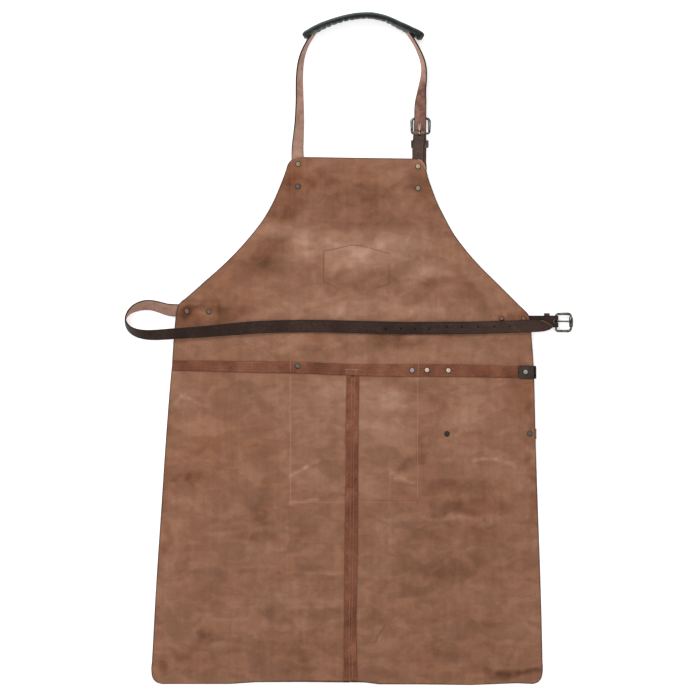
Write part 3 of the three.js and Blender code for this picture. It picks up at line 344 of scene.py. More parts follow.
# Neck strap. Columns: x, y, centre z, roll in degrees. The tip's last rows add a half width
NECK = [
    (-78.3, 225.3, 2.65, 0), (-77.5, 246, 2.65, 0), (-77.5, 270, 2.65, 0), (-78.2, 291, 2.65, 1),
    (-78.2, 304.4, 3.4, 12), (-76.9, 322.6, 5.9, 29), (-75.6, 340.9, 7.2, 39), (-75.1, 359.1, 7.8, 46),
    (-75.0, 377.3, 8.2, 52), (-75.3, 395.6, 8.5, 55), (-75.2, 413.8, 8.7, 58), (-74.4, 426, 8.9, 61),
    (-72.4, 439, 9.1, 65), (-68.9, 450.5, 9.3, 69), (-64.2, 461.3, 9.7, 73), (-58.4, 470.8, 10.2, 75),
    (-47, 485, 11.8, 79), (-32, 492.6, 12.6, 84), (-18.2, 497.8, 13.2, 87), (9.1, 504.1, 13.6, 88),
    (35, 505.1, 13.6, 88), (54.7, 500.9, 13.4, 86), (70, 493.8, 12.8, 82), (84.2, 485.6, 11.8, 79),
    (94.2, 472.6, 10.2, 76), (101.6, 460.6, 9.6, 75), (106.6, 450.3, 9.4, 73), (110.4, 441.2, 9.2, 70),
    (112.9, 432, 9.1, 68), (114, 423, 9.1, 66), (113.7, 413.8, 9, 62), (112.8, 404.7, 8.7, 56),
    (111.3, 395.6, 8.5, 50), (110.2, 386.5, 8.0, 41), (109.3, 377.3, 7.4, 25), (108.6, 368.2, 7.0, 9),
    (108.3, 359.1, 7.4, 2), (108.3, 350, 7.6, 0), (108.1, 343.5, 6.7, 0), (107.9, 337, 4.9, 0),
    (107.9, 331, 2.95, 0), (108, 325, 2.1, 0), (108.2, 317, 2.7, 0), (108.3, 310, 2.75, 0),
    (108.3, 303, 2.75, 0), (108.3, 294, 1.9, 0), (108.3, 284, 1.15, 0), (108.2, 268, 1.15, 0),
]
NECK_TIP = [(108.2, 262, 1.15, 0, 6.2), (108.1, 257.5, 1.15, 0, 1.2)]
# Darker stretch of the neck strap's right side, and paler stretch of the waist strap
NECK_DARKENING = {"from_x": 20, "from_y": 455, "length": 70, "tone": -0.28}
WAIST_FADE = {"from_x": 110, "length": 120, "tone": 0.2}

# Padded sleeve. Columns: x, y, centre z, roll in degrees, share of the full section
PAD = [
    (-69.4, 473.4, 13.5, 76, 0.62), (-66.8, 475.0, 13.5, 76, 0.9), (-60.4, 479.0, 13.5, 77, 1),
    (-44.1, 488.3, 13.6, 81, 1), (-18.2, 498.2, 13.7, 87, 1), (9.1, 504.5, 13.7, 88, 1),
    (35, 505.5, 13.7, 88, 1), (54.7, 501.2, 13.7, 86, 1), (77.5, 490.6, 13.6, 80, 1),
    (95.8, 481.5, 13.5, 75, 1), (107, 475.4, 13.4, 72, 1), (110.6, 473.4, 13.4, 72, 0.9),
    (112.9, 472.1, 13.4, 72, 0.62),
]
PAD_HALF_WIDTH = 13.4
PAD_HALF_DEPTH = 4.6
PAD_SQUARENESS = 2.6

# Waist strap. Columns: x, y, height of the centre over its support, roll, 1 where it lies on the panels
WAIST = [
    (-203.7, 56.6, 2.65, 0, 0), (-225, 57, 2.65, 0, 0), (-249.3, 57.4, 2.65, 0, 0), (-264, 57.8, 2.65, 1, 0),
    (-275.1, 58.8, 4.4, 18, 0), (-287.3, 62.4, 5.9, 31, 0), (-299.4, 65.3, 6.5, 35, 0),
    (-311.6, 65.4, 7.1, 40, 0), (-321.6, 62.8, 8.2, 50, 0), (-329.4, 58.6, 9.0, 63, 0),
    (-335.6, 52.8, 9.5, 77, 0), (-339.5, 44.6, 9.6, 90, 0), (-337.8, 36.4, 9.6, 101, 0),
    (-333.2, 29.8, 9.2, 113, 0), (-325.2, 24.6, 8.5, 125, 0), (-312, 21.0, 7.4, 137, 0),
    (-296, 20.2, 7.4, 145, 0), (-281, 21, 9.2, 148, 0),
    (-264.5, 22.2, 6.6, 149, 1), (-237, 24.0, 5.7, 152, 1), (-209.8, 26.2, 4.9, 157, 1),
    (-175, 29.2, 3.1, 168, 1), (-139.8, 31.9, 1.6, 177, 1), (-117, 32.9, 1.2, 180, 1),
    (-54.7, 33.7, 1.2, 180, 1), (10, 32.4, 1.2, 180, 1), (60, 31.2, 1.2, 180, 1), (72, 30.9, 1.2, 180, 1),
    (132.2, 30.9, 1.2, 180, 1), (180, 31.1, 1.2, 180, 1), (205, 31.5, 1.4, 180, 1),
    (231.8, 32.4, 2.0, 180, 1), (265.2, 33.4, 2.0, 180, 1), (281, 33.9, 9.6, 180, 0),
]
# Free end of the waist strap. Columns: x, y, centre z, roll, half width
WAIST_TIP = [
    (287, 34.0, 9.4, 180, 9.2), (292, 33.9, 9.3, 180, 8.8), (297, 33.4, 9.35, 180, 7.8),
    (301, 33.0, 9.4, 180, 6.3), (304.6, 32.8, 9.5, 180, 4.5), (307.6, 32.7, 9.65, 180, 2.6),
    (309.6, 32.7, 9.75, 180, 0.9),
]
WAIST_HOLES = [
    (56.1, 29.0), (79.0, 28.9), (100.5, 28.8), (121.8, 28.8), (148.8, 32.2),
    (171.5, 32.3), (196.4, 32.5), (220.7, 32.8), (244.4, 33.0),
]
STRAP_HOLE = 1.5
HOLE_SIDES = 20
HOLE_RISE = 3
HOLE_REACH = 14
HOLE_START = (-0.5, 0.3, 0.0)
TIP_RIM = 0.75
NARROWEST = 0.6
LYING_REACH = 12

# Buckles
WIRE = 1.6
HEEL_CORNER = 2.2
END_CORNER = 4.8
RING_INNER = 1.95
RING_OUTER = 3.2
RING_WIDTH = 3.2
ROLLER_INNER = 1.95
ROLLER_OUTER = 3.05
ROLLER_LENGTH = 15
ROLLER_SEAM = 0.35
PRONG_ROOT = 1.15
PRONG_TIP = 0.9
PRONG_STEPS = 15
# Rounded end of a prong. Columns: reach past the tip, share of the tip's radius
PRONG_END = [(0.3, 0.8), (0.45, 0.4)]
SLOT_HALF = 1.9
SLOT_START = 3.5
SLOT_REACH = 9.0
SLOT_BOTTOM = -1
SLOT_TOP = 14
SIDE_BAR = 1.1
SIDE_START = 0.6
NECK_BUCKLE = {
    "low": 95.7, "high": 121.7, "heel": (326.2, 7.4), "end": (349.1, 4.4),
    "prong_side": 107.2, "prong_root": (2.5, -0.6), "prong_past": 1.8, "prong_height": 1.1,
}
NECK_TAB = {
    "half": 8.8, "lying": [214, 240, 266, 290], "rise": [(301, 8.2), (312, 9.6), (320, 10.3)],
    "return": [(319, 4.8), (312, 5.1), (301, 5.1)],
}
NECK_TAB_X = (104.9, 106.4)
NECK_KEEPER = {"across": (94.1, 120.9), "along": (304.6, 316), "height": (0.2, 7.6)}
WORN_FOLD = {"past_heel": 0.6, "height": 6}
NECK_HOLE = (107.2, 336.8, 4.8)
NECK_HOLE_HALF = (1.6, 4.4, 3.4)
WAIST_BUCKLE = {
    "low": 26.6, "high": 51.7, "heel": (314.6, 4.5), "end": (337.4, 5.6),
    "prong_side": 41, "prong_root": (2.4, -0.9), "prong_past": 2.2, "prong_height": 1.05,
}
WAIST_TAB = {
    "half": 9, "lying": [208, 230, 254, 278], "rise": [(287, 5.4), (296, 6.2), (305, 6.6)],
    "return": [(305, 2.5), (296, 2.6), (287, 2.6)],
}
WAIST_TAB_Y = 40.6
WAIST_KEEPER = {"across": (27.6, 53.6), "along": (296.4, 304.9), "height": (0.2, 5.0)}
KEEPER_CORNER_RADIUS = 1.6
WAIST_ROLLER_Y = 39.8
FOLD_GAP = 0.4
FOLD_RADIUS = WIRE + FOLD_GAP + TAB / 2

# Camera: the photograph looks straight down on the floor
FRAME_WIDTH = 1064.0
FRAME_CENTRE = (1.52, -2.66)
LENS = 500.0
SENSOR = 36.0
FAR_CLIP = 100

# Lights, in metres and watts. Columns: name, place, size, power
LIGHTS = [("key", (-1.1, 2.0, 1.9), 1.2, 42), ("fill", (2.4, -1.0, 2.2), 2.0, 14)]
SKY_STRENGTH = 0.72
FLOOR_HALF = 12000.0
FLOOR_LINES = 13
FLOOR_HEIGHT = -0.05

# The drawing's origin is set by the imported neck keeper's low corner
keeper_low = np.array(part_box("neck_keeper")[0]) / MM
SHIFT = np.array([keeper_low[0] - NECK_KEEPER["across"][0], keeper_low[1] - NECK_KEEPER["along"][0], 0.0])

# Material slots of a piece
UPPER, EDGE, LOWER, WORN = range(4)


# Heights and curves
HEIGHT_COLUMN = 5
TONE_COLUMN = 6
UP = np.array([0, 0, 1.0])


def smooth(t):
    """Soft step from 0 to 1."""
    s = np.clip(t, 0.0, 1.0)
    return s * s * (3 - 2 * s)


def ridge(x, y, rows, column=HEIGHT_COLUMN):
    """Sum of soft ridges along straight lines. The column holds each ridge's height or tone."""
    total = np.zeros_like(np.asarray(x, float))
    for row in rows:
        x0, y0, x1, y1, half = row[:5]
        span = (x1 - x0) ** 2 + (y1 - y0) ** 2
        t = np.clip(((x - x0) * (x1 - x0) + (y - y0) * (y1 - y0)) / span, 0, 1)
        away = np.hypot(x - x0 - t * (x1 - x0), y - y0 - t * (y1 - y0))
        total = total + row[column] * smooth(1 - away / half)
    return total


def underside(x, y):
    """Height of the panels' floor side."""
    total = np.zeros_like(np.asarray(x, float))
    for cx, cy, half_x, half_y, height, fade in LIFTS:
        dx = np.maximum(0, np.abs(x - cx) - half_x)
        dy = np.maximum(0, np.abs(y - cy) - half_y)
        total = total + (height * smooth(1 - np.hypot(dx, dy) / fade)) ** LIFT_POWER
    return total ** (1 / LIFT_POWER) + ridge(x, y, FOLDS)


def panel_top(x, y):
    return underside(x, y) + PANEL


def lying_height(x, y):
    """Height of the highest panel place under a strap that lies there."""
    reach = [(dx, dy) for dx in (-LYING_REACH, 0, LYING_REACH) for dy in (-STRAP_HALF, 0, STRAP_HALF)]
    return max(float(panel_top(x + dx, y + dy)) for dx, dy in reach)


def along(table, key):
    rows = np.array(table, float)
    return np.interp(key, rows[:, 0], rows[:, 1])


def hermite(knots, values, at):
    """Smooth curve through values at rising knots, read at several places."""
    knots = np.asarray(knots, float)
    values = np.asarray(values, float)
    slope = np.gradient(values, knots, axis=0)
    i = np.clip(np.searchsorted(knots, at, side="right") - 1, 0, len(knots) - 2)
    width = (knots[i + 1] - knots[i])[:, None]
    t = ((at - knots[i])[:, None]) / width
    first, last = values[i], values[i + 1]
    h00 = 2 * t ** 3 - 3 * t ** 2 + 1
    h10 = t ** 3 - 2 * t ** 2 + t
    h01 = -2 * t ** 3 + 3 * t ** 2
    h11 = t ** 3 - t ** 2
    return h00 * first + h10 * width * slope[i] + h01 * last + h11 * width * slope[i + 1]


def run_lengths(points):
    """Length along a path at each of its points."""
    return np.concatenate([[0], np.cumsum(np.linalg.norm(np.diff(points, axis=0), axis=1))])


def follow(rows, step):
    """Rows of a path table read at even steps along its first three columns."""
    rows = np.asarray(rows, float)
    lengths = run_lengths(rows[:, :3])
    count = max(2, int(round(lengths[-1] / step)))
    return hermite(lengths, rows, np.linspace(0, lengths[-1], count + 1))


def unit(v):
    return v / np.linalg.norm(v, axis=-1, keepdims=True)


def tangents(points):
    """Directions along an open path."""
    return unit(np.gradient(points, axis=0))


def round_tangents(points):
    """Directions along a closed path."""
    return unit(np.roll(points, -1, axis=0) - np.roll(points, 1, axis=0))


def circle(sides):
    """Cosines and sines of even angles, once round."""
    angles = 2 * np.pi * np.arange(sides) / sides
    return np.cos(angles), np.sin(angles)


def ring_of(sides, first, second):
    """Points of the unit circle that two directions span."""
    c, s = circle(sides)
    return c[:, None] * first + s[:, None] * second


# Mesh making. Points are in millimetres and get the frame's shift here
collection = bpy.context.scene.collection


def make(name, points, faces, materials, slots=None, flat=False):
    points = (np.asarray(points, float).reshape(-1, 3) + SHIFT) * MM
    mesh = bpy.data.meshes.new(name)
    mesh.from_pydata(points.tolist(), [], [list(map(int, f)) for f in faces])
    for material in materials:
        mesh.materials.append(material)
    if slots is not None:
        mesh.polygons.foreach_set("material_index", np.asarray(slots, np.int32))
    mesh.polygons.foreach_set("use_smooth", [not flat] * len(mesh.polygons))
    mesh.update()
    obj = bpy.data.objects.new(name, mesh)
    collection.objects.link(obj)
    return obj


def loft(sections, slots=UPPER, closed=False):
    """Points, faces and slots of a skin through closed sections. slots is one number for each side."""
    sections = np.asarray(sections, float)
    count, sides = sections.shape[:2]
    side_slots = np.broadcast_to(slots, (sides,))
    faces = []
    marks = []
    for i in range(count if closed else count - 1):
        here = i * sides
        after = ((i + 1) % count) * sides
        for j in range(sides):
            k = (j + 1) % sides
            faces.append((here + j, here + k, after + k, after + j))
            marks.append(side_slots[j])
    if not closed:
        last = (count - 1) * sides
        faces.append(tuple(range(sides - 1, -1, -1)))
        faces.append(tuple(last + j for j in range(sides)))
        marks.extend([side_slots[0], side_slots[0]])
    return sections.reshape(-1, 3), faces, marks


def facing_out(points, faces):
    """Faces turned so that the closed skin they make faces out."""
    volume = 0.0
    for face in faces:
        a = points[face[0]]
        for j in range(1, len(face) - 1):
            volume += np.dot(a, np.cross(points[face[j]], points[face[j + 1]]))
    return faces if volume > 0 else [tuple(reversed(f)) for f in faces]


def joined(name, shells, materials):
    """One object from several closed skins: each is (points, faces, slots)."""
    points = []
    faces = []
    marks = []
    start = 0
    for shell_points, shell_faces, shell_marks in shells:
        points.append(shell_points)
        faces.extend(tuple(start + v for v in f) for f in facing_out(shell_points, shell_faces))
        marks.extend(shell_marks)
        start += len(shell_points)
    return make(name, np.concatenate(points), faces, materials, marks)


def lofted(name, sections, materials, slots=UPPER, closed=False):
    return joined(name, [loft(sections, slots, closed)], materials)


def carve(obj, tool, operation="DIFFERENCE"):
    """Cuts a tool body out of a piece, or joins it on, and keeps the plain mesh that results."""
    modifier = obj.modifiers.new("carve", "BOOLEAN")
    modifier.operation = operation
    modifier.solver = "EXACT"
    modifier.object = tool
    modifier.material_mode = "TRANSFER"
    graph = bpy.context.evaluated_depsgraph_get()
    result = bpy.data.meshes.new_from_object(obj.evaluated_get(graph))
    obj.modifiers.clear()
    old = obj.data
    obj.data = result
    result.name = obj.name
    bpy.data.meshes.remove(old)
    bpy.data.objects.remove(tool)
    return obj


def places_of(items, key="co"):
    """Columns x, y and z of a mesh's points or faces, in the drawing's millimetres."""
    places = np.empty(len(items) * 3)
    items.foreach_get(key, places)
    return (places.reshape(-1, 3) / MM - SHIFT).T


def repaint(obj, slot, where, old=None):
    """Gives a material slot to the faces, all or of one old slot, that where(x, y, z) picks."""
    polygons = obj.data.polygons
    slots = np.empty(len(polygons), np.int32)
    polygons.foreach_get("material_index", slots)
    chosen = where(*places_of(polygons, "center"))
    slots[chosen if old is None else chosen & (slots == old)] = slot
    polygons.foreach_set("material_index", slots)


def store(obj, name, values):
    attribute = obj.data.attributes.new(name, "FLOAT", "POINT")
    attribute.data.foreach_set("value", values.astype(np.float32))


# Node materials: named layers of noise, weighed into a shade, a roughness and bumps
RAMP_PLACES = (0.1, 0.5, 0.9)
NOISE_RANGE = (0.3, 0.7)
FINE_PEBBLE = 2.3
FLOOR_ROUGH = (0.85, 0.95)
RIVET_ROUGH = (0.48, 0.64)
MIX_FACTOR, MIX_FIRST, MIX_SECOND = 0, 6, 7
MIX_RESULT = 2


def linear(colour):
    """Linear light of an 8-bit screen colour."""
    return tuple(((v / 255 + 0.055) / 1.055) ** 2.4 if v > 10 else v / 255 / 12.92 for v in colour)


class Look:
    """A node material being put together. Colours are 8-bit screen values."""

    def __init__(self, name, **sockets):
        self.material = bpy.data.materials.new(name)
        self.material.use_nodes = True
        self.nodes = self.material.node_tree.nodes
        self.links = self.material.node_tree.links
        self.shader = self.nodes["Principled BSDF"]
        self.place = self.node("ShaderNodeTexCoord", "Object", {})
        for socket, value in sockets.items():
            self.shader.inputs[socket.replace("_", " ")].default_value = value

    def node(self, kind, output, inputs, **settings):
        """One output of a new node, with its inputs set or linked."""
        made = self.nodes.new(kind)
        for key, value in settings.items():
            setattr(made, key, value)
        for key, value in inputs.items():
            if isinstance(value, bpy.types.NodeSocket):
                self.links.new(value, made.inputs[key])
            else:
                made.inputs[key].default_value = value
        return made.outputs[output]

    def layer(self, scale, detail=None, rough=0.55, twist=0.0, stretch=None, turn=0.0):
        """Noise, stretched and turned by degrees where that is given, or round cells of a scale alone."""
        place = {"Vector": self.place}
        if detail is None:
            return self.node("ShaderNodeTexVoronoi", "Distance", {**place, "Scale": scale})
        if stretch:
            turned = {"Scale": stretch, "Rotation": (0, 0, math.radians(turn))}
            place = {"Vector": self.node("ShaderNodeMapping", "Vector", {**place, **turned})}
        sizes = {"Scale": scale, "Detail": detail, "Roughness": rough, "Distortion": twist}
        return self.node("ShaderNodeTexNoise", "Fac", {**place, **sizes})

    def layers(self, table):
        return {name: self.layer(*settings) for name, settings in table.items()}

    def attribute(self, name):
        return self.node("ShaderNodeAttribute", "Fac", {}, attribute_name=name)

    def math(self, operation, first, second, clamp=False):
        return self.node("ShaderNodeMath", 0, {0: first, 1: second}, operation=operation, use_clamp=clamp)

    def weigh(self, start, layers, weights):
        """start plus each weighed layer's distance from one half."""
        total = start
        for name, weight in weights.items():
            centred = self.math("SUBTRACT", layers[name], 0.5)
            total = self.math("ADD", self.math("MULTIPLY", centred, weight), total)
        return total

    def spread(self, value, low, high, to_low, to_high):
        """value brought from the range low to high into another range."""
        inputs = {"Value": value, "From Min": low, "From Max": high, "To Min": to_low, "To Max": to_high}
        return self.node("ShaderNodeMapRange", "Result", inputs)

    def ramp(self, value, places, colours):
        made = self.nodes.new("ShaderNodeValToRGB")
        self.links.new(value, made.inputs["Fac"])
        elements = made.color_ramp.elements
        while len(elements) < len(places):
            elements.new(0.5)
        for element, place, colour in zip(elements, places, colours):
            element.position = place
            element.color = (*linear(colour), 1)
        return made.outputs["Color"]

    def finish(self, colour, rough, layers, bumps):
        """Links colour, roughness and bumps of named layers, in metres, and gives the material."""
        normal = {}
        for name, distance in bumps.items():
            inputs = {"Strength": 1.0, "Distance": distance, "Height": layers[name], **normal}
            normal = {"Normal": self.node("ShaderNodeBump", "Normal", inputs)}
        for socket, value in {"Base Color": colour, "Roughness": rough, **normal}.items():
            self.links.new(value, self.shader.inputs[socket])
        return self.material


def layered(name, colours, layers, weights, rough, bumps, toned=False, **sockets):
    """Material shaded from dark over middle to light. rough: a layer, its smoothest and its roughest."""
    look = Look(name, **sockets)
    made = look.layers(layers)
    shade = look.math("ADD", look.attribute("tone"), 0.5) if toned else 0.5
    colour = look.ramp(look.weigh(shade, made, weights), RAMP_PLACES, colours)
    return look.finish(colour, look.spread(made[rough[0]], *NOISE_RANGE, *rough[1:]), made, bumps)


SUEDE_LAYERS = {
    "broad": (9.0, 4.0, 0.55, 0.6),
    "smears": (24.0, 4.0, 0.55, 0.6, (0.45, 1.5, 1.0), 4),
    "blots": (34.0, 4.0, 0.55, 0.8),
    "patches": (40.0, 3.0, 0.5, 0.7, (0.7, 1.2, 1.0), 8),
    "spots": (100.0, 4.0, 0.55, 0.3),
    "specks": (42.0,),
    "streaks": (130.0, 3.0, 0.5, 0.3, (1.0, 0.1, 1.0), 1),
    "fibre": (460.0, 3.0, 0.6, 0.4),
    "nap": (1200.0, 3.0, 0.7),
    "hue": (11.0, 4.0, 0.6, 0.4),
}
SUEDE_WEIGHTS = {
    "broad": 0.22, "smears": 0.28, "blots": 0.2, "patches": 0.1, "spots": 0.18, "specks": 0.5,
    "streaks": 0.14, "fibre": 0.14, "nap": 0.24,
}
HUE_WEIGHTS = {"hue": 0.9, "patches": 0.3}
SUEDE_BUMPS = {"blots": 0.001, "spots": 0.0005, "streaks": 0.00015, "fibre": 0.0003, "nap": 0.0003}
PATCH_SPREAD = (0.44, 0.58, 0.0, 1.0)
SPECK_SPREAD = (0.02, 0.04, 0.85, 0.5)
SUEDE_PLACES = (0.04, 0.3, 0.5, 0.7, 0.96)
COOL_SUEDE = ((86, 60, 45), (118, 84, 65), (138, 101, 81), (157, 121, 101), (188, 152, 132))
WARM_SUEDE = ((93, 55, 37), (124, 79, 56), (143, 98, 74), (161, 118, 94), (190, 150, 127))
SUEDE_ROUGH = (0.82, 0.97)


def suede_look():
    """Rough flesh side, whose points carry a tone and a warmth."""
    look = Look("flesh_suede", Sheen_Weight=0.08, Sheen_Roughness=0.45, Specular_IOR_Level=0.1)
    made = look.layers(SUEDE_LAYERS)
    made["patches"] = look.spread(made["patches"], *PATCH_SPREAD)
    made["specks"] = look.spread(made["specks"], *SPECK_SPREAD)
    value = look.weigh(look.attribute("tone"), made, SUEDE_WEIGHTS)
    hue = look.weigh(look.attribute("warmth"), made, HUE_WEIGHTS)
    mixed = {
        MIX_FACTOR: look.math("ADD", hue, 0.5, True),
        MIX_FIRST: look.ramp(value, SUEDE_PLACES, COOL_SUEDE),
        MIX_SECOND: look.ramp(value, SUEDE_PLACES, WARM_SUEDE),
    }
    colour = look.node("ShaderNodeMix", MIX_RESULT, mixed, data_type="RGBA")
    return look.finish(colour, look.spread(made["spots"], *NOISE_RANGE, *SUEDE_ROUGH), made, SUEDE_BUMPS)


def strip_look(name, *colours):
    layers = {"blots": (30.0, 5.0, 0.62, 0.3), "grain": (420.0, 4.0, 0.6), "pores": (1100.0,)}
    bumps = {"blots": 0.0008, "pores": 0.00015, "grain": 0.0002}
    return layered(name, colours, layers, {"blots": 1.5, "grain": 0.6}, ("blots", 0.55, 0.7), bumps,
                   Specular_IOR_Level=0.12)


def leather_look(name, *colours, rough=(0.46, 0.64), pebble=900.0, shine=0.14):
    """Grain leather: pebbled skin, cloudy dye and paler wear on raised cells."""
    layers = {
        "clouds": (26.0, 5.0, 0.62, 0.4), "grain": (260.0, 5.0, 0.62),
        "skin": (pebble,), "fine": (pebble * FINE_PEBBLE,),
    }
    bumps = {"clouds": 0.001, "skin": 0.00022, "fine": 0.0001}
    weights = {"clouds": 0.9, "grain": 0.5, "skin": 0.2}
    return layered(name, colours, layers, weights, ("grain", *rough), bumps, True, Specular_IOR_Level=shine)


def flesh_strap_look(name, *colours):
    layers = {"clouds": (30.0, 5.0, 0.62, 0.4), "fibre": (420.0, 4.0, 0.7, 0.5), "spots": (110.0, 5.0, 0.62)}
    bumps = {"spots": 0.0008, "fibre": 0.0004}
    weights = {"clouds": 0.8, "fibre": 0.35, "spots": 0.5}
    return layered(name, colours, layers, weights, ("spots", 0.78, 0.92), bumps, True,
                   Sheen_Weight=0.1, Sheen_Roughness=0.45, Specular_IOR_Level=0.12)


def edge_look(name, *colours):
    layers = {"plies": (60.0, 5.0, 0.65, 0.0, (1.0, 1.0, 9.0)), "fibre": (700.0, 3.0, 0.7)}
    bumps = {"plies": 0.0005, "fibre": 0.0002}
    return layered(name, colours, layers, {"plies": 1.0, "fibre": 0.4}, ("plies", 0.6, 0.85), bumps,
                   Specular_IOR_Level=0.12)


def metal_look(name, *colours, rough, metallic=1.0):
    layers = {
        "tarnish": (150.0, 5.0, 0.65, 0.5), "wear": (520.0, 4.0, 0.6),
        "scratches": (900.0, 2.0, 0.5, 0.0, (1.0, 0.12, 0.4), 35),
    }
    weights = {"tarnish": 0.9, "wear": 0.4, "scratches": 0.25}
    bumps = {"tarnish": 0.0003, "scratches": 0.00008}
    return layered(name, colours, layers, weights, ("wear", *rough), bumps, True, Metallic=metallic)


def thread_look(name, *colours):
    layers = {"dirt": (40.0, 4.0, 0.6), "plies": (2600.0, 2.0, 0.5, 0.0, (1.0, 1.0, 0.4), 40)}
    weights = {"dirt": 0.8, "plies": 0.5}
    return layered(name, colours, layers, weights, ("plies", 0.55, 0.8), {"plies": 0.00015},
                   Specular_IOR_Level=0.3, Sheen_Weight=0.15, Sheen_Roughness=0.4)


def floor_look(name, *colours):
    look = Look(name, Specular_IOR_Level=0.1, Emission_Strength=0.45)
    mottle = look.layer(3.0, 4.0, 0.5)
    rough = look.spread(mottle, *NOISE_RANGE, *FLOOR_ROUGH)
    return look.finish(look.ramp(mottle, NOISE_RANGE, colours), rough, {}, {})


SUEDE = suede_look()
STRIP_LEATHER = strip_look("seam_strip_leather", (84, 45, 29), (117, 71, 51), (148, 98, 74))
GRAIN = leather_look("grain_leather", (34, 21, 16), (58, 38, 29), (84, 58, 46))
TAB_LEATHER = leather_look("tab_leather", (44, 31, 27), (74, 56, 49), (104, 84, 75))
BAND_LEATHER = leather_look("band_leather", (34, 26, 21), (60, 48, 41), (86, 71, 62))
STRAP_GRAIN = leather_look("strap_grain", (28, 17, 13), (49, 33, 27), (76, 56, 48))
PAD_LEATHER = leather_look(
    "pad_leather", (12, 15, 13), (24, 29, 26), (60, 70, 65), rough=(0.34, 0.5), pebble=700.0, shine=0.2)
STRAP_FLESH = flesh_strap_look("strap_flesh", (106, 68, 58), (164, 127, 111), (190, 156, 140))
KEEPER_LEATHER = leather_look("keeper_leather", (40, 33, 28), (68, 58, 50), (104, 94, 82))
WORN_LEATHER = leather_look("worn_leather", (82, 66, 57), (119, 101, 89), (152, 133, 119))
DARK_EDGE = edge_look("burnished_edge", (18, 12, 10), (40, 26, 20), (68, 46, 36))
STRAP_EDGE = edge_look("strap_edge", (22, 15, 13), (42, 31, 27), (70, 54, 48))
# Black edge leather, also used as painted shade on the upper band's turn
BLACK_EDGE_AND_SHADE = edge_look("black_edge_and_shade", (9, 7, 7), (22, 17, 17), (42, 34, 33))
WORN_EDGE = edge_look("worn_edge", (74, 54, 45), (108, 84, 71), (140, 114, 98))
RAW_EDGE = edge_look("raw_edge", (128, 96, 78), (172, 138, 116), (206, 176, 154))
STRIP_EDGE = edge_look("strip_edge", (80, 47, 33), (106, 66, 48), (134, 92, 72))
NICKEL = metal_look("antique_nickel", (16, 15, 13), (70, 67, 62), (184, 181, 173), rough=(0.24, 0.4))
NICKEL_DARK = metal_look("dark_nickel", (12, 10, 10), (30, 27, 27), (66, 61, 61), rough=(0.34, 0.5))
# Pale pinkish prong metal: a painted highlight on the neck prong
PRONG_PAINTED_HIGHLIGHT = metal_look("prong_painted_highlight", (96, 76, 66), (164, 138, 124), (206, 186, 172), rough=(0.3, 0.45))
RIVET_RIM = metal_look("rivet_rim", (22, 19, 16), (46, 40, 34), (78, 70, 60), rough=(0.45, 0.6), metallic=0.6)
SEAM_THREAD = thread_look("seam_thread", (102, 58, 40), (136, 85, 61), (168, 115, 88))
CENTRE_THREAD = thread_look("centre_thread", (122, 78, 58), (158, 110, 86), (190, 144, 118))
PALE_THREAD = thread_look("pale_thread", (140, 98, 76), (178, 136, 112), (208, 170, 146))
LABEL_THREAD = thread_look("label_thread", (76, 48, 35), (100, 67, 50), (130, 93, 72))
FLOOR = floor_look("studio_floor", (247, 247, 247), (251, 251, 251))

# Rivet heads. Columns: dark, middle and light colour
RIVET_COLOURS = {
    "cream": ((146, 128, 106), (198, 181, 158), (224, 210, 190)),
    "beige": ((118, 104, 84), (174, 158, 132), (206, 192, 166)),
    "sage": ((82, 74, 58), (134, 122, 99), (174, 162, 138)),
    "olive": ((54, 48, 36), (104, 92, 73), (150, 136, 112)),
    "green": ((52, 52, 43), (90, 90, 76), (130, 128, 110)),
    "rose": ((62, 46, 42), (112, 90, 83), (160, 136, 128)),
    "russet": ((62, 40, 34), (114, 80, 68), (158, 122, 108)),
    "silver": ((84, 76, 78), (156, 144, 145), (204, 194, 195)),
    "grey": ((92, 84, 76), (150, 141, 131), (190, 182, 172)),
    "black": ((14, 14, 12), (30, 30, 26), (58, 56, 50)),
    "slate": ((42, 37, 36), (88, 79, 77), (136, 125, 122)),
}
RIVET_LOOKS = {
    name: metal_look("rivet_" + name, *colours, rough=RIVET_ROUGH, metallic=0.35)
    for name, colours in RIVET_COLOURS.items()
}

# Flesh-side relief: creases, sewn grooves and slow unevenness of the hide
POCKET_ROWS = [
    [(-89, -38), (-89, -234)], [(104, -44), (104, -234)], [(-89, -234), (104, -234)],
]
LABEL_ROWS = [
    [(-20.5, 93.1), (-38.5, 100.0), (-38.5, 147.8), (-22, 150.5), (-8, 154.5), (6, 157.0), (20, 155.5),
     (38, 150.5), (61.6, 143.3)],
    [(60.6, 128.0), (61.6, 97.7), (42, 91.5)],
]
GROOVE_HALF = 2.6
GROOVE_DEPTH = 0.2
# Painted shade in the sewn grooves: tone per millimetre that they sink
GROOVE_SHADE = 0.25
GROOVES = [
    (*start, *end, GROOVE_HALF, -GROOVE_DEPTH)
    for line in POCKET_ROWS + LABEL_ROWS for start, end in zip(line[:-1], line[1:])
]
# Slow waves over the plan. Columns: amount, scale, seed
HIDE_WAVES = [(0.20, 30.0, 1.7), (0.12, 9.0, 5.1)]
STRIP_WAVES = [(0.12, 7.0, 9.3)]
CREASE_X_WAVES = [(2.4, 17.0, 3.1)]
CREASE_Y_WAVES = [(2.4, 17.0, 9.6)]
SMUDGE_AND_SHADING_X_WAVES = [(18, 36.0, 2.3), (9, 13.0, 7.7)]
SMUDGE_AND_SHADING_Y_WAVES = [(13, 36.0, 4.9), (6, 13.0, 8.8)]
MOTTLE_WAVES = [(0.9, 19.0, 6.4)]
MOTTLE_RANGE = (0.2, 1.6)
MIDDLE_TONE = 0.5
PATCH_REACH = 1.5
SMUDGE_AND_SHADING_REACH = 1.7
SMUDGE_AND_SHADING_FADE = 1.5


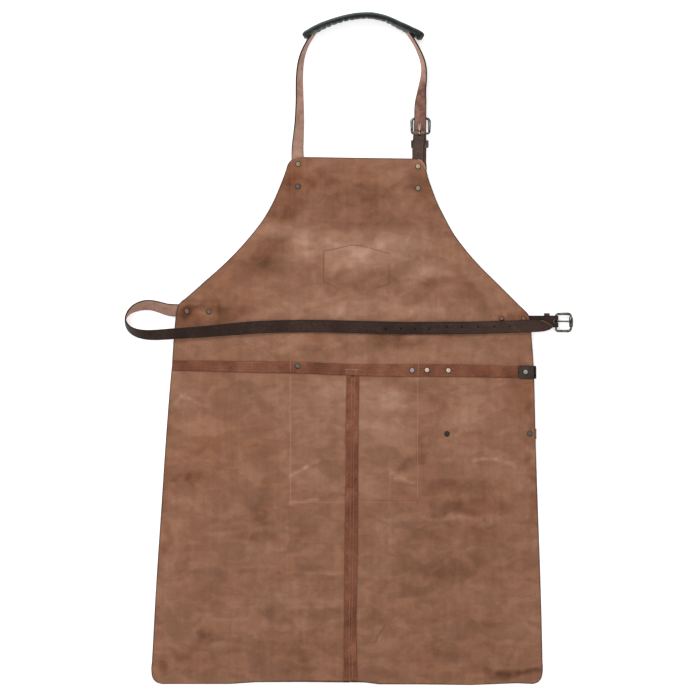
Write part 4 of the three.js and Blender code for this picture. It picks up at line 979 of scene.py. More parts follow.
def waves(x, y, table):
    """Sum of slow noises over the plan."""
    total = np.zeros(np.shape(x))
    for amount, scale, seed in table:
        places = np.column_stack([np.ravel(x), np.ravel(y)]) / scale
        values = [noise.noise(Vector((a, b, seed))) for a, b in places]
        total = total + amount * np.reshape(values, np.shape(x))
    return total


def creased(x, y, column=HEIGHT_COLUMN):
    """Creases with wavering lines, and the straight ridges of the sewing: their heights, or their painted
    light and shade at the tone column.
    """
    wavy_x = x + waves(x, y, CREASE_X_WAVES)
    wavy_y = y + waves(x, y, CREASE_Y_WAVES)
    return ridge(wavy_x, wavy_y, CREASES, column) + ridge(x, y, SEWN_RIDGES, column)


def flesh_detail(x, y):
    return creased(x, y) + ridge(x, y, GROOVES)


def flesh_tone(x, y):
    """Tone and warmth of the flesh side: patches, ragged smudges and painted fold shading, painted light and
    shade of the creases, and painted shade in the grooves.
    """
    tone = MIDDLE_TONE + creased(x, y, TONE_COLUMN) + GROOVE_SHADE * ridge(x, y, GROOVES)
    warmth = np.zeros(np.shape(x))
    for cx, cy, half_x, half_y, amount in TONES:
        tone = tone + amount * smooth(PATCH_REACH - np.hypot((x - cx) / half_x, (y - cy) / half_y))
    ragged_x = x + waves(x, y, SMUDGE_AND_SHADING_X_WAVES)
    ragged_y = y + waves(x, y, SMUDGE_AND_SHADING_Y_WAVES)
    mottle = SMUDGE_AND_SHADING_SHARE * np.clip(1 + waves(x, y, MOTTLE_WAVES), *MOTTLE_RANGE)
    for cx, cy, length, width, turn, amount, warm in SMUDGES_AND_SHADING:
        c, s = math.cos(math.radians(turn)), math.sin(math.radians(turn))
        dx, dy = ragged_x - cx, ragged_y - cy
        away = np.hypot((c * dx + s * dy) / length, (c * dy - s * dx) / width)
        cover = smooth((SMUDGE_AND_SHADING_REACH - away) / SMUDGE_AND_SHADING_FADE) * mottle
        tone = tone + amount * cover
        warmth = warmth + warm * cover
    return tone, warmth


def edge_distance(x, y, outline):
    """Distance of each point from the nearest point of an outline."""
    tree = kdtree.KDTree(len(outline))
    for i, (px, py) in enumerate(outline):
        tree.insert((px, py, 0), i)
    tree.balance()
    return np.array([tree.find((px, py, 0))[2] for px, py in zip(x, y)])


def edge_tone(x, y):
    """Tone of the line along a panel's edge, above zero where the edge is worn pale."""
    tone = np.full(np.shape(x), EDGE_TONE)
    for low_x, high_x, low_y, worn in WORN_CORNERS:
        tone = np.where((x > low_x) & (x < high_x) & (y > low_y), worn, tone)
    return tone


# Panels: grid sheets with a rounded edge
EDGE_INSET = 0.45
WALL_SHARES = (0.76, 0.28)
OUTLINE_STEPS = 4
SEAM_MEETING_Y = -30


def rim_of(rows, columns):
    """Row and column of each edge point of a grid, once round."""
    rim = [(0, c) for c in range(columns)] + [(r, columns - 1) for r in range(1, rows)]
    rim += [(rows - 1, c) for c in range(columns - 2, -1, -1)] + [(r, 0) for r in range(rows - 2, 0, -1)]
    return np.array(rim).T


def grid_quads(rows, columns):
    """Faces of a grid of points, four point numbers in a row."""
    index = np.arange(rows * columns).reshape(rows, columns)
    corners = (index[:-1, :-1], index[:-1, 1:], index[1:, 1:], index[1:, :-1])
    return np.column_stack([corner.ravel() for corner in corners])


def plate(name, base_x, base_y, low, top, materials):
    """Closed sheet over a grid of plan points. low and top are the heights of its two faces."""
    rows, columns = base_x.shape
    r, c = rim_of(rows, columns)
    count = len(r)
    outline = np.column_stack([base_x[r, c], base_y[r, c]])
    run = round_tangents(outline)
    area = np.sum(outline[:, 0] * np.roll(outline[:, 1], -1) - outline[:, 1] * np.roll(outline[:, 0], -1))
    inward = np.sign(area) * np.column_stack([-run[:, 1], run[:, 0]])
    x, y = base_x.copy(), base_y.copy()
    x[r, c], y[r, c] = (outline + EDGE_INSET * inward).T
    sheets = [np.column_stack([x.ravel(), y.ravel(), heights.ravel()]) for heights in (top, low)]
    thick = top[r, c] - low[r, c]
    walls = [np.column_stack([outline, low[r, c] + share * thick]) for share in WALL_SHARES]
    layer = rows * columns
    quads = grid_quads(rows, columns)
    rim = r * columns + c
    wall = 2 * layer + np.arange(count)
    loops = [rim, wall, wall + count, rim + layer]
    faces = [quads, quads[:, ::-1] + layer]
    slots = [np.full(len(quads), UPPER), np.full(len(quads), LOWER)]
    for upper, lower in zip(loops[:-1], loops[1:]):
        faces.append(np.column_stack([upper, lower, np.roll(lower, -1), np.roll(upper, -1)]))
        slots.append(np.full(count, EDGE))
    faces = np.concatenate(faces)
    if area < 0:
        faces = faces[:, ::-1]
    return make(name, np.concatenate([*sheets, *walls]), faces, materials, np.concatenate(slots))


def outline_of(x, y):
    """Edge points of a grid of plan points, with points put between them."""
    r, c = rim_of(*x.shape)
    ring = np.column_stack([x[r, c], y[r, c]])
    ring = np.concatenate([ring, ring[:1]])
    at = np.arange(0, len(ring) - 1, 1 / OUTLINE_STEPS)
    return np.column_stack([np.interp(at, np.arange(len(ring)), column) for column in ring.T])


def panel(name, rows, low_edge, high_edge):
    """Panel through rows of left and right edge points. Its low and high edges are curves over x."""
    rows = np.array(rows, float)
    left, right = (np.linalg.norm(np.diff(rows[:, i:i + 2], axis=0), axis=1) for i in (0, 2))
    lengths = np.concatenate([[0], np.cumsum(np.maximum(left, right))])
    steps = np.linspace(0, lengths[-1], int(lengths[-1] / CELL) + 1)
    sides = hermite(lengths, rows, steps)
    width = np.max(np.abs(rows[:, 2] - rows[:, 0]))
    u = np.linspace(0, 1, int(width / CELL) + 1)[None, :]
    v = (steps / lengths[-1])[:, None]
    x = sides[:, :1] + (sides[:, 2:3] - sides[:, :1]) * u
    y = sides[:, 1:2] + (sides[:, 3:] - sides[:, 1:2]) * u
    for (ax, ay, bx, by), edge, share in ((rows[0], low_edge, 1 - v), (rows[-1], high_edge, v)):
        y = y + share * (edge(ax + (bx - ax) * u) - (ay + (by - ay) * u))
    low = underside(x, y)
    top = low + PANEL + waves(x, y, HIDE_WAVES) + flesh_detail(x, y)
    obj = plate(name, x, y, low, top, [SUEDE, DARK_EDGE, GRAIN, RAW_EDGE])
    repaint(obj, WORN, lambda px, py, pz: edge_tone(px, py) > 0, EDGE)
    outline = outline_of(x, y)
    x, y, _ = places_of(obj.data.vertices)
    tone, warmth = flesh_tone(x, y)
    line = smooth(1 - edge_distance(x, y, outline) / EDGE_LINE)
    store(obj, "tone", tone + line * edge_tone(x, y))
    store(obj, "warmth", warmth)
    return obj


def edge_curve(table, offset=0.0):
    """Edge of a panel as a function of x."""
    return lambda x: along(table, x) + offset


seam_above = edge_curve(WAIST_SEAM, SEAM_GAP / 2)
seam_below = edge_curve(WAIST_SEAM, -SEAM_GAP / 2)
hem = edge_curve(HEM)


def skirt_rows(is_left):
    middle = -SEAM_GAP / 2 if is_left else SEAM_GAP / 2
    rows = []
    for i, row in enumerate(SKIRT_SIDES):
        outer = row[:2] if is_left else row[2:]
        y = outer[1]
        if i == 0:
            y = float(hem(along(CENTRE_SEAM, y)))
        if i == len(SKIRT_SIDES) - 1:
            y = float(seam_below(along(CENTRE_SEAM, SEAM_MEETING_Y)))
        inner = (float(along(CENTRE_SEAM, y)) + middle, y)
        rows.append((*outer, *inner) if is_left else (*inner, *outer))
    return rows


bib = panel("bib", BIB_ROWS, seam_above, edge_curve(NECK_EDGE))
skirt_left = panel("skirt_left", skirt_rows(True), hem, seam_below)
skirt_right = panel("skirt_right", skirt_rows(False), hem, seam_below)

# Seam strips: bands with soft edges that follow the seams, sunk along their rows of stitching
WAIST_ROWS = (0.26, 0.42, 0.58, 0.76)
CENTRE_ROWS = (0.42, 0.64)
WAIST_SEWN = (-266, 255)
CENTRE_SEWN = (-503, -45)
STRIP_COLUMNS = 27
STRIP_LIFT = 0.3
CROWN_FOOT = 0.2
CROWN = 0.3
CROWN_POWER = 0.6
ROW_HALF = 0.07
ROW_SINK = 0.42
ROW_POINTS = 60


def strip_points(table, keys, shares, across_is_y):
    """Plan points of a strip at places along it and shares of its width."""
    rows = np.array(table, float)
    edges = hermite(rows[:, 0], rows[:, 1:], keys)
    side = edges[:, :1] + (edges[:, 1:] - edges[:, :1]) * shares
    main = np.repeat(keys[:, None], side.shape[1], axis=1)
    return (main, side) if across_is_y else (side, main)


def seam_strip(name, table, rows_at, across_is_y):
    start, end = table[0][0], table[-1][0]
    keys = np.linspace(start, end, int(abs(end - start) / STRIP_STEP) + 1)
    u = np.linspace(0, 1, STRIP_COLUMNS)[None, :]
    x, y = strip_points(table, keys, u, across_is_y)
    low = panel_top(x, y) + STRIP_LIFT
    sunk = ROW_SINK * sum(smooth(1 - np.abs(u - row) / ROW_HALF) for row in rows_at)
    crown = CROWN * np.sin(np.pi * u) ** CROWN_POWER - CROWN_FOOT - sunk
    return plate(name, x, y, low, low + STRIP + crown + waves(x, y, STRIP_WAVES),
                 [STRIP_LEATHER, STRIP_EDGE, STRIP_LEATHER])


def sewn_lines(table, rows_at, across_is_y, span):
    """Lines of stitching along a strip."""
    x, y = strip_points(table, np.linspace(*span, ROW_POINTS), np.array([rows_at]), across_is_y)
    return [np.column_stack(line) for line in zip(x.T, y.T)]


waist_strip = seam_strip("waist_strip", WAIST_STRIP, WAIST_ROWS, True)
centre_strip = seam_strip("centre_strip", CENTRE_STRIP, CENTRE_ROWS, False)

# Stitches: short bent threads whose ends go into the leather
STITCH_LONG = np.array([-0.5, -0.32, 0.0, 0.32, 0.5])
STITCH_RISE = np.array([-0.75, 0.15, 0.45, 0.15, -0.75])
STITCH_SIDES = 6
STITCH_PITCH = 3.6
STITCH_LENGTH = 2.9
STITCH_RADIUS = 0.36
THIN_STITCH = 0.3
STRIP_THREAD = -0.14
CROSS_THREAD = 0.16
FLESH_THREAD = 0.05
# Stitching that crosses the waist strip: a box over the centre strip and the pocket's two sides
CROSS_ROWS = [
    [(-6.8, -32.2), (16.8, -32.2)], [(-3.8, -32.2), (-3.8, -40.2)], [(10.6, -32.2), (10.6, -40.2)],
    [(105.4, -19.6), (104.8, -43.0)], [(-89.2, -21.2), (-89.0, -37.4)],
]


def stitching(name, lines, height, material, radius=STITCH_RADIUS):
    shells = []
    for line in lines:
        line = np.array(line, float)
        lengths = run_lengths(line)
        for i in range(int(lengths[-1] / STITCH_PITCH)):
            at = np.clip((i + 0.5) * STITCH_PITCH + STITCH_LONG * STITCH_LENGTH, 0, lengths[-1])
            x, y = (np.interp(at, lengths, column) for column in line.T)
            centres = np.column_stack([x, y, height(x, y) + STITCH_RISE * radius])
            run = unit(np.array([x[-1] - x[0], y[-1] - y[0], 0.0]))
            ring = radius * ring_of(STITCH_SIDES, np.cross(UP, run), UP)
            shells.append(loft(centres[:, None, :] + ring))
    return joined(name, shells, [material])


def on_strip(thread):
    """Height of thread on a seam strip."""
    return lambda x, y: panel_top(x, y) + STRIP_LIFT + STRIP + thread


def on_flesh(x, y):
    return panel_top(x, y) + flesh_detail(x, y) + FLESH_THREAD


waist_lines = sewn_lines(WAIST_STRIP, WAIST_ROWS, True, WAIST_SEWN)
centre_lines = sewn_lines(CENTRE_STRIP, CENTRE_ROWS, False, CENTRE_SEWN)
waist_stitches = stitching("waist_strip_stitches", waist_lines, on_strip(STRIP_THREAD), SEAM_THREAD)
centre_stitches = stitching("centre_strip_stitches", centre_lines, on_strip(STRIP_THREAD), CENTRE_THREAD)
cross_stitches = stitching("cross_stitches", CROSS_ROWS, on_strip(CROSS_THREAD), PALE_THREAD)
pocket_stitches = stitching("pocket_stitches", POCKET_ROWS, on_flesh, PALE_THREAD, THIN_STITCH)
label_stitches = stitching("label_stitches", LABEL_ROWS, on_flesh, LABEL_THREAD, THIN_STITCH)

# Pocket and lower band on the floor side
FLESH_RISE = 0.3
LOWER_BAND_RIM = 2.0


def floor_sheet(name, left, right, bottom, top_at, thick, cell):
    xs = np.linspace(left, right, int((right - left) / cell) + 1)
    tops = top_at(xs)
    v = np.linspace(0, 1, max(3, int((float(np.max(tops)) - bottom) / cell) + 1))[:, None]
    x = np.repeat(xs[None, :], len(v), axis=0)
    y = bottom + (tops[None, :] - bottom) * v
    low = underside(x, y) - SEWN_GAP - thick
    return plate(name, x, y, low, low + thick + FLESH_RISE, [STRAP_FLESH, DARK_EDGE, GRAIN])


pocket = floor_sheet(
    "pocket", POCKET_LEFT, POCKET_RIGHT, POCKET_BOTTOM, edge_curve(WAIST_SEAM, POCKET_OVERLAP),
    POCKET, POCKET_CELL)
lower_band = floor_sheet(
    "lower_band_leather", LOWER_BAND_START, LOWER_BAND_END, LOWER_BAND_Y - LOWER_BAND_HALF,
    lambda x: np.full_like(x, LOWER_BAND_Y + LOWER_BAND_HALF), BAND, BAND_CELL)
repaint(lower_band, UPPER, lambda x, y, z: x > LOWER_BAND_END - LOWER_BAND_RIM, EDGE)

# Straps: ribbons with rounded, creased edges. Profile shares are of the flat half width
CREASE_LINE = [(0.74, 0.0), (0.79, 0.16), (0.84, 0.0)]
FLAT_SHARE = 0.35
ROUND_BY_THICKNESS = 0.48
ROUND_BY_WIDTH = 0.6
ROUND_DEGREES = (60, 30, 0, -30, -60)


def bar_profile(half, thick):
    """Closed profile of (across, through) points, and a slot for each side."""
    r = min(ROUND_BY_THICKNESS * thick, ROUND_BY_WIDTH * half)
    mirrored = [(-w, dip) for w, dip in reversed(CREASE_LINE)]
    upper = [(-1, 0.0), *mirrored, (-FLAT_SHARE, 0), (FLAT_SHARE, 0), *CREASE_LINE, (1, 0.0)]
    points = []
    slots = []
    for face, slot, row in ((1, UPPER, upper), (-1, LOWER, upper[::-1])):
        points += [(w * (half - r), face * (thick / 2 - dip)) for w, dip in row]
        slots += [slot] * (len(row) - 1) + [EDGE] * (len(ROUND_DEGREES) + 1)
        for angle in np.radians(ROUND_DEGREES):
            points.append((face * (half - r + r * math.cos(angle)), face * thick / 2 * math.sin(angle)))
    return np.array(points), slots


def on_floor(points):
    """Points that would lie under the floor pressed flat on it."""
    return np.column_stack([points[:, :2], np.maximum(points[:, 2], 0)])


def strap_frame(rows, outer):
    """Directions along rows of x, y, z and roll: the run, the level side, the width and the normal."""
    run = tangents(rows[:, :3])
    level = unit(np.cross(UP, run)) * outer
    roll = np.radians(rows[:, 3:4])
    wide = level * np.cos(roll) + UP * np.sin(roll)
    return run, level, wide, unit(np.cross(wide, run))


def ribbon(name, rows, outer):
    """Strap through rows of x, y, z, roll, half width. The profile's upper side is the flesh side."""
    rows = follow(rows, STRAP_STEP)
    run, _, _, normal = strap_frame(rows, outer)
    across = unit(np.cross(run, normal))
    flesh = -outer * normal
    sections = []
    for i, row in enumerate(rows):
        profile, slots = bar_profile(max(NARROWEST, row[4]), STRAP)
        sections.append(on_floor(row[:3] + profile[:, :1] * across[i] + profile[:, 1:] * flesh[i]))
    return lofted(name, sections, [STRAP_FLESH, STRAP_EDGE, STRAP_GRAIN, WORN_EDGE], slots)


def round_tool(x, y):
    """Upright round body that punches a hole in the waist strap."""
    first = unit(np.array(HOLE_START))
    ring = STRAP_HOLE * ring_of(HOLE_SIDES, first, np.cross(UP, first))
    centre = np.array([x, y, lying_height(x, y) + HOLE_RISE])
    return lofted("punch", [centre + end * HOLE_REACH / 2 * UP + ring for end in (-1, 1)], [STRAP_EDGE])


def block(low, high, material):
    corners = [(low[0], low[1]), (high[0], low[1]), (high[0], high[1]), (low[0], high[1])]
    ends = [[(x, y, z) for x, y in corners] for z in (low[2], high[2])]
    return lofted("punch", ends, [material])


def tip_edge(x, y, z):
    """Upper rim of the waist strap's free end, where the dye is worn off."""
    rows = np.array(WAIST_TIP)
    rim = np.interp(x, rows[:, 0], rows[:, 1] + rows[:, 4] - TIP_RIM)
    return (x > rows[1, 0]) & (y > rim)


neck_strap = ribbon("neck_strap_leather", [(*row, STRAP_HALF) for row in NECK] + NECK_TIP, 1)
neck_hole = np.array(NECK_HOLE)
carve(neck_strap, block(neck_hole - NECK_HOLE_HALF, neck_hole + NECK_HOLE_HALF, STRAP_EDGE))
neck_x, neck_y, _ = places_of(neck_strap.data.vertices)
darkening = NECK_DARKENING["tone"] * smooth((NECK_DARKENING["from_y"] - neck_y) / NECK_DARKENING["length"])
store(neck_strap, "tone", np.where(neck_x > NECK_DARKENING["from_x"], darkening, 0.0))
waist_rows = []
for x, y, z, roll, lies in WAIST:
    support = lying_height(x, y) + STRAP / 2 if lies else 0
    waist_rows.append((x, y, z + support, roll, WAIST_HALF))
waist_strap = ribbon("waist_strap_leather", waist_rows + WAIST_TIP, -1)
for x, y in WAIST_HOLES:
    carve(waist_strap, round_tool(x, y))
repaint(waist_strap, WORN, tip_edge)
waist_x = places_of(waist_strap.data.vertices)[0]
fade = smooth((waist_x - WAIST_FADE["from_x"]) / WAIST_FADE["length"])
store(waist_strap, "tone", WAIST_FADE["tone"] * fade)

# Padded sleeve of the neck loop, drawn in between the stitches of its inner side
PAD_SIDES = 40
SCALLOP_PITCH = 9.4
SCALLOP_DEPTH = 1.9
SCALLOP_RISE = 0.9
NOTCH_POWER = 1.6
NOTCH_SHARE = 0.6
LEAST_NOTCH = 0.2
SWELL_START = 0.8
# Painted sheen: tone added on the sleeve's outer side as a painted highlight
PAD_PAINTED_SHEEN = 0.42
# Slow noises along the sleeve. Columns: amount, scale, two seeds
PHASE_DRIFT = (1.6, 24.0, 1.5, 0)
NOTCH_DRIFT = (0.9, 16.0, 7.5, 0)
WRINKLES = (0.22, 9.0, 0.0, 3.3)


def drift(at, amount, scale, *seeds):
    return amount * noise.noise(Vector((at / scale, *seeds)))


def pad_sleeve():
    rows = follow(PAD, PAD_STEP)
    _, level, wide, normal = strap_frame(rows, 1)
    c, s = circle(PAD_SIDES)
    full = (np.abs(c) ** PAD_SQUARENESS + np.abs(s) ** PAD_SQUARENESS) ** (-1 / PAD_SQUARENESS)
    sections = []
    painted_sheen = []
    for i, at in enumerate(run_lengths(rows[:, :3])):
        share = rows[i, 4]
        out = unit(c[:, None] * wide[i] * PAD_HALF_DEPTH + s[:, None] * normal[i] * PAD_HALF_WIDTH) @ level[i]
        # The outer side is lightened: painted highlight
        painted_sheen.append(PAD_PAINTED_SHEEN * smooth(out))
        phase = math.pi * at / SCALLOP_PITCH + drift(at, *PHASE_DRIFT)
        depth = max(LEAST_NOTCH, SCALLOP_DEPTH * (NOTCH_SHARE + drift(at, *NOTCH_DRIFT)))
        notch = depth * (1 - abs(math.sin(phase))) ** NOTCH_POWER
        swell = (SCALLOP_RISE - notch) * smooth((share - SWELL_START) / (1 - SWELL_START))
        a = c * full * PAD_HALF_WIDTH * share
        b = s * full * PAD_HALF_DEPTH * share + drift(at, *WRINKLES) * np.abs(s) * share
        ring = rows[i, :3] + a[:, None] * wide[i] + b[:, None] * normal[i]
        sections.append(on_floor(ring - (swell * smooth(-out))[:, None] * level[i]))
    obj = lofted("neck_pad_sleeve", sections, [PAD_LEATHER])
    store(obj, "tone", np.concatenate(painted_sheen))
    return obj


neck_pad = pad_sleeve()

# Tabs, keepers and the upper band: strips bent in one plane
BENT_STEP = 1.6
FOLD_POINTS = 9
KEEPER_STEP = 0.8
KEEPER_FILL = 1.0
KEEPER_CORNER_STEPS = 5
BAND_POINTS = 28
BAND_END_POINTS = 6
BAND_TURN_DEGREES = (-60, -30, 0, 30, 60)
BAND_TURN_SHARE = 0.8
BAND_TURN_RIM = 1.2


def lengthways(run, across, height):
    """Point of something that runs along Y."""
    return (across, run, height)


def sideways(run, across, height):
    """Point of something that runs along X."""
    return (run, across, height)


def bent_band(name, path, half, thick, place, materials, step=BENT_STEP, closed=False):
    """Strip along a path of (run, height) points. place(run, side step, height) gives a point."""
    path = np.array(path, float)
    if closed:
        path = np.concatenate([path, path[:1]])
    fine = follow(np.column_stack([path, np.zeros(len(path))]), step)[:, :2]
    if closed:
        fine = fine[:-1]
    run = round_tangents(fine) if closed else tangents(fine)
    profile, slots = bar_profile(half, thick)
    sections = []
    for (a, z), (along_a, along_z) in zip(fine, run):
        sections.append([place(a - n * along_z, w, z + n * along_a) for w, n in profile])
    return lofted(name, sections, materials, slots, closed)


def fold_points(bar):
    """Half turn of a tab round a bar."""
    angles = np.linspace(math.pi / 2, -math.pi / 2, FOLD_POINTS)
    return [(bar[0] + FOLD_RADIUS * math.cos(t), bar[1] + FOLD_RADIUS * math.sin(t)) for t in angles]


def rounded_rectangle(left, right, bottom, top, left_radius, right_radius, steps):
    corners = [
        (right - right_radius, bottom + right_radius, right_radius, -90),
        (right - right_radius, top - right_radius, right_radius, 0),
        (left + left_radius, top - left_radius, left_radius, 90),
        (left + left_radius, bottom + left_radius, left_radius, 180),
    ]
    points = []
    for a, z, radius, start in corners:
        for i in range(steps + 1):
            angle = math.radians(start + 90 * i / steps)
            points.append((a + radius * math.cos(angle), z + radius * math.sin(angle)))
    return points


def neck_tab_x(y):
    low, high = NECK_KEEPER["along"][0], NECK_BUCKLE["heel"][0]
    share = float(smooth((y - low) / (high - low)))
    return NECK_TAB_X[0] + (NECK_TAB_X[1] - NECK_TAB_X[0]) * share


def tab(name, sizes, buckle, middle, turn, materials):
    """Strip under the bib, folded round a buckle's heel bar and slotted there for the prong."""
    lying = []
    for a in sizes["lying"]:
        x, y, _ = turn(a, middle(a), 0.0)
        lying.append((a, float(underside(x, y)) - SEWN_GAP - TAB / 2))
    path = lying + sizes["rise"] + fold_points(buckle["heel"]) + sizes["return"]
    path += [(a, z - TAB - GAP) for a, z in reversed(lying)]
    obj = bent_band(name, path, sizes["half"], TAB, lambda a, w, z: turn(a, middle(a) + w, z), materials)
    heel, side = buckle["heel"][0], buckle["prong_side"]
    low = turn(heel - SLOT_START, side - SLOT_HALF, SLOT_BOTTOM)
    high = turn(heel + SLOT_REACH, side + SLOT_HALF, SLOT_TOP)
    return carve(obj, block(low, high, materials[EDGE]))


def filled(path):
    """The same closed path with points put in along its straight runs."""
    points = []
    for a, b in zip(path, path[1:] + path[:1]):
        count = max(1, int(math.dist(a, b) / KEEPER_FILL))
        points.extend(np.add(a, np.subtract(b, a) * (i / count)) for i in range(count))
    return points


def keeper(name, sizes, turn):
    """Closed loop of thin leather round a strap."""
    inset = KEEPER / 2
    (left, right), (start, end), (bottom, top) = sizes["across"], sizes["along"], sizes["height"]
    path = rounded_rectangle(left + inset, right - inset, bottom + inset, top - inset,
                             KEEPER_CORNER_RADIUS, KEEPER_CORNER_RADIUS, KEEPER_CORNER_STEPS)
    return bent_band(
        name, filled(path), (end - start) / 2, KEEPER, lambda a, w, z: turn((start + end) / 2 + w, a, z),
        [KEEPER_LEATHER, WORN_EDGE, KEEPER_LEATHER, WORN_LEATHER], KEEPER_STEP, True)


def band_y(x):
    return UPPER_BAND_Y + UPPER_BAND_DROP * (x - UPPER_BAND_START)


def upper_band_path():
    """The band runs under the panel, turns round its edge and ends on top of it."""
    path = []
    for x in np.linspace(UPPER_BAND_START, UPPER_BAND_TURN, BAND_POINTS):
        path.append((x, float(underside(x, band_y(x))) - SEWN_GAP - BAND / 2))
    turn_radius = (PANEL + 2 * SEWN_GAP + BAND) / 2
    turn_z = float(underside(UPPER_BAND_TURN, band_y(UPPER_BAND_TURN))) + PANEL / 2
    for angle in np.radians(BAND_TURN_DEGREES):
        reach = turn_radius * math.cos(angle) * BAND_TURN_SHARE
        path.append((UPPER_BAND_TURN + reach, turn_z + turn_radius * math.sin(angle)))
    for x in np.linspace(UPPER_BAND_TURN, UPPER_BAND_END, BAND_END_POINTS):
        path.append((x, float(panel_top(x, band_y(x))) + SEWN_GAP + BAND / 2))
    return path


def on_worn_fold(x, y, z):
    return (y > NECK_BUCKLE["heel"][0] + WORN_FOLD["past_heel"]) & (z > WORN_FOLD["height"])


neck_tab = tab("neck_tab_leather", NECK_TAB, NECK_BUCKLE, neck_tab_x, lengthways,
               [TAB_LEATHER, DARK_EDGE, TAB_LEATHER, WORN_LEATHER])
repaint(neck_tab, WORN, on_worn_fold)
waist_tab = tab("waist_tab_leather", WAIST_TAB, WAIST_BUCKLE, lambda x: WAIST_TAB_Y, sideways,
                [STRAP_GRAIN, BLACK_EDGE_AND_SHADE, STRAP_GRAIN])
neck_keeper = keeper("neck_keeper_leather", NECK_KEEPER, lengthways)
waist_keeper = keeper("waist_keeper_leather", WAIST_KEEPER, sideways)
repaint(waist_keeper, WORN, lambda x, y, z: y > WAIST_KEEPER["across"][1] - KEEPER)
upper_band = bent_band("upper_band_leather", upper_band_path(), UPPER_BAND_HALF, BAND,
                       lambda a, w, z: (a, band_y(a) + w, z), [BAND_LEATHER, BLACK_EDGE_AND_SHADE, BAND_LEATHER])
# The turn round the panel's edge is painted black: painted shade on the turn
repaint(upper_band, EDGE, lambda x, y, z: x > UPPER_BAND_TURN - BAND_TURN_RIM)

# Metal: painted highlight and wear on the crest of a wire, painted shade on its flanks
CREST_HIGHLIGHT_AND_WEAR = 0.52
FLANK_PAINTED_SHADE = 0.38
CREST_START = 0.75
WIRE_SIDES = 20
WIRE_SQUARENESS = 0.85
FRAME_CORNER_STEPS = 8
SLEEVE_SOFTNESS = 0.3
EYE_SIDES = 32
ROLLER_SIDES = 48
PIN_SIDES = 14


def buckle_frame(name, buckle, turn):
    """Closed wire frame whose side bars are wider than the heel and end bars, outwards."""
    heel, end = np.array(buckle["heel"]), np.array(buckle["end"])
    length = float(np.hypot(*(end - heel)))
    middle = (buckle["low"] + buckle["high"]) / 2
    points = []
    widths = []
    for run, side in rounded_rectangle(
            0, length, buckle["low"], buckle["high"], HEEL_CORNER, END_CORNER, FRAME_CORNER_STEPS):
        reach = abs(side - middle) / (buckle["high"] - middle)
        beside = smooth((reach - SIDE_START) / (1 - SIDE_START))
        past_heel = smooth((run - HEEL_CORNER / 2) / HEEL_CORNER)
        extra = SIDE_BAR / 2 * float(beside * past_heel)
        a, z = heel + (end - heel) * (run / length)
        points.append(turn(a, side + math.copysign(extra, side - middle), z))
        widths.append(WIRE + extra)
    points = np.array(points)
    normal = unit(np.array(turn(heel[1] - end[1], 0.0, end[0] - heel[0])))
    inside = unit(np.cross(normal, round_tangents(points)))
    c, s = (np.sign(wave) * np.abs(wave) ** WIRE_SQUARENESS for wave in circle(WIRE_SIDES))
    in_plane = c[None, :, None] * np.array(widths)[:, None, None] * inside[:, None, :]
    through = WIRE * s[None, :, None] * normal
    obj = lofted(name, points[:, None, :] + in_plane + through, [NICKEL], closed=True)
    # Painted highlight and wear on the crest, painted shade on the flanks
    highlight_and_wear = smooth((np.abs(s) - CREST_START) / (1 - CREST_START))
    store(obj, "tone", np.tile(CREST_HIGHLIGHT_AND_WEAR * highlight_and_wear - FLANK_PAINTED_SHADE, len(points)))
    return obj


def sleeve(name, centre, axis, length, inner, outer, sides, metal, seam=0.0):
    """Round sleeve with softened ends; seam is the depth of a joint line along it."""
    soft = min(SLEEVE_SOFTNESS, (outer - inner) * SLEEVE_SOFTNESS)
    half = length / 2
    profile = [(inner, -half + soft), (inner + soft, -half), (outer - soft, -half), (outer, -half + soft),
               (outer, half - soft), (outer - soft, half), (inner + soft, half), (inner, half - soft)]
    sections = []
    for j, out in enumerate(ring_of(sides, -UP, np.cross(axis, -UP))):
        dip = seam if j == 0 else 0.0
        sections.append([
            centre + out * (r - (dip if r > (inner + outer) / 2 else 0)) + axis * e for r, e in profile])
    return lofted(name, sections, [metal], closed=True)


def prong(name, buckle, turn, metal):
    """Eye on the heel bar and a tapered pin, joined into one body."""
    side = buckle["prong_side"]
    root, drop = buckle["prong_root"]
    axis = np.array(turn(0.0, 1.0, 0.0))
    eye = np.array(turn(buckle["heel"][0], side, buckle["heel"][1]))
    start = eye + turn(root, 0.0, drop)
    tip = np.array(turn(buckle["end"][0] + buckle["prong_past"], side, buckle["prong_height"]))
    run = unit(tip - start)
    stations = []
    for t in np.linspace(0, 1, PRONG_STEPS):
        stations.append((start + (tip - start) * t, PRONG_ROOT + (PRONG_TIP - PRONG_ROOT) * t))
    stations += [(tip + run * reach, PRONG_TIP * share) for reach, share in PRONG_END]
    ring = ring_of(PIN_SIDES, axis, unit(np.cross(run, axis)))
    body = sleeve(name, eye, axis, RING_WIDTH, RING_INNER, RING_OUTER, EYE_SIDES, metal)
    pin = lofted("prong_pin", [centre + radius * ring for centre, radius in stations], [metal])
    return carve(body, pin, "UNION")


neck_frame = buckle_frame("neck_buckle", NECK_BUCKLE, lengthways)
waist_frame = buckle_frame("waist_buckle_ring", WAIST_BUCKLE, sideways)
roller_x, roller_z = WAIST_BUCKLE["end"]
roller = sleeve("waist_roller_sleeve", np.array([roller_x, WAIST_ROLLER_Y, roller_z]), np.array([0, 1.0, 0]),
                ROLLER_LENGTH, ROLLER_INNER, ROLLER_OUTER, ROLLER_SIDES, NICKEL, ROLLER_SEAM)
neck_prong = prong("neck_prong", NECK_BUCKLE, lengthways, PRONG_PAINTED_HIGHLIGHT)
waist_prong = prong("waist_prong_pin", WAIST_BUCKLE, sideways, NICKEL_DARK)


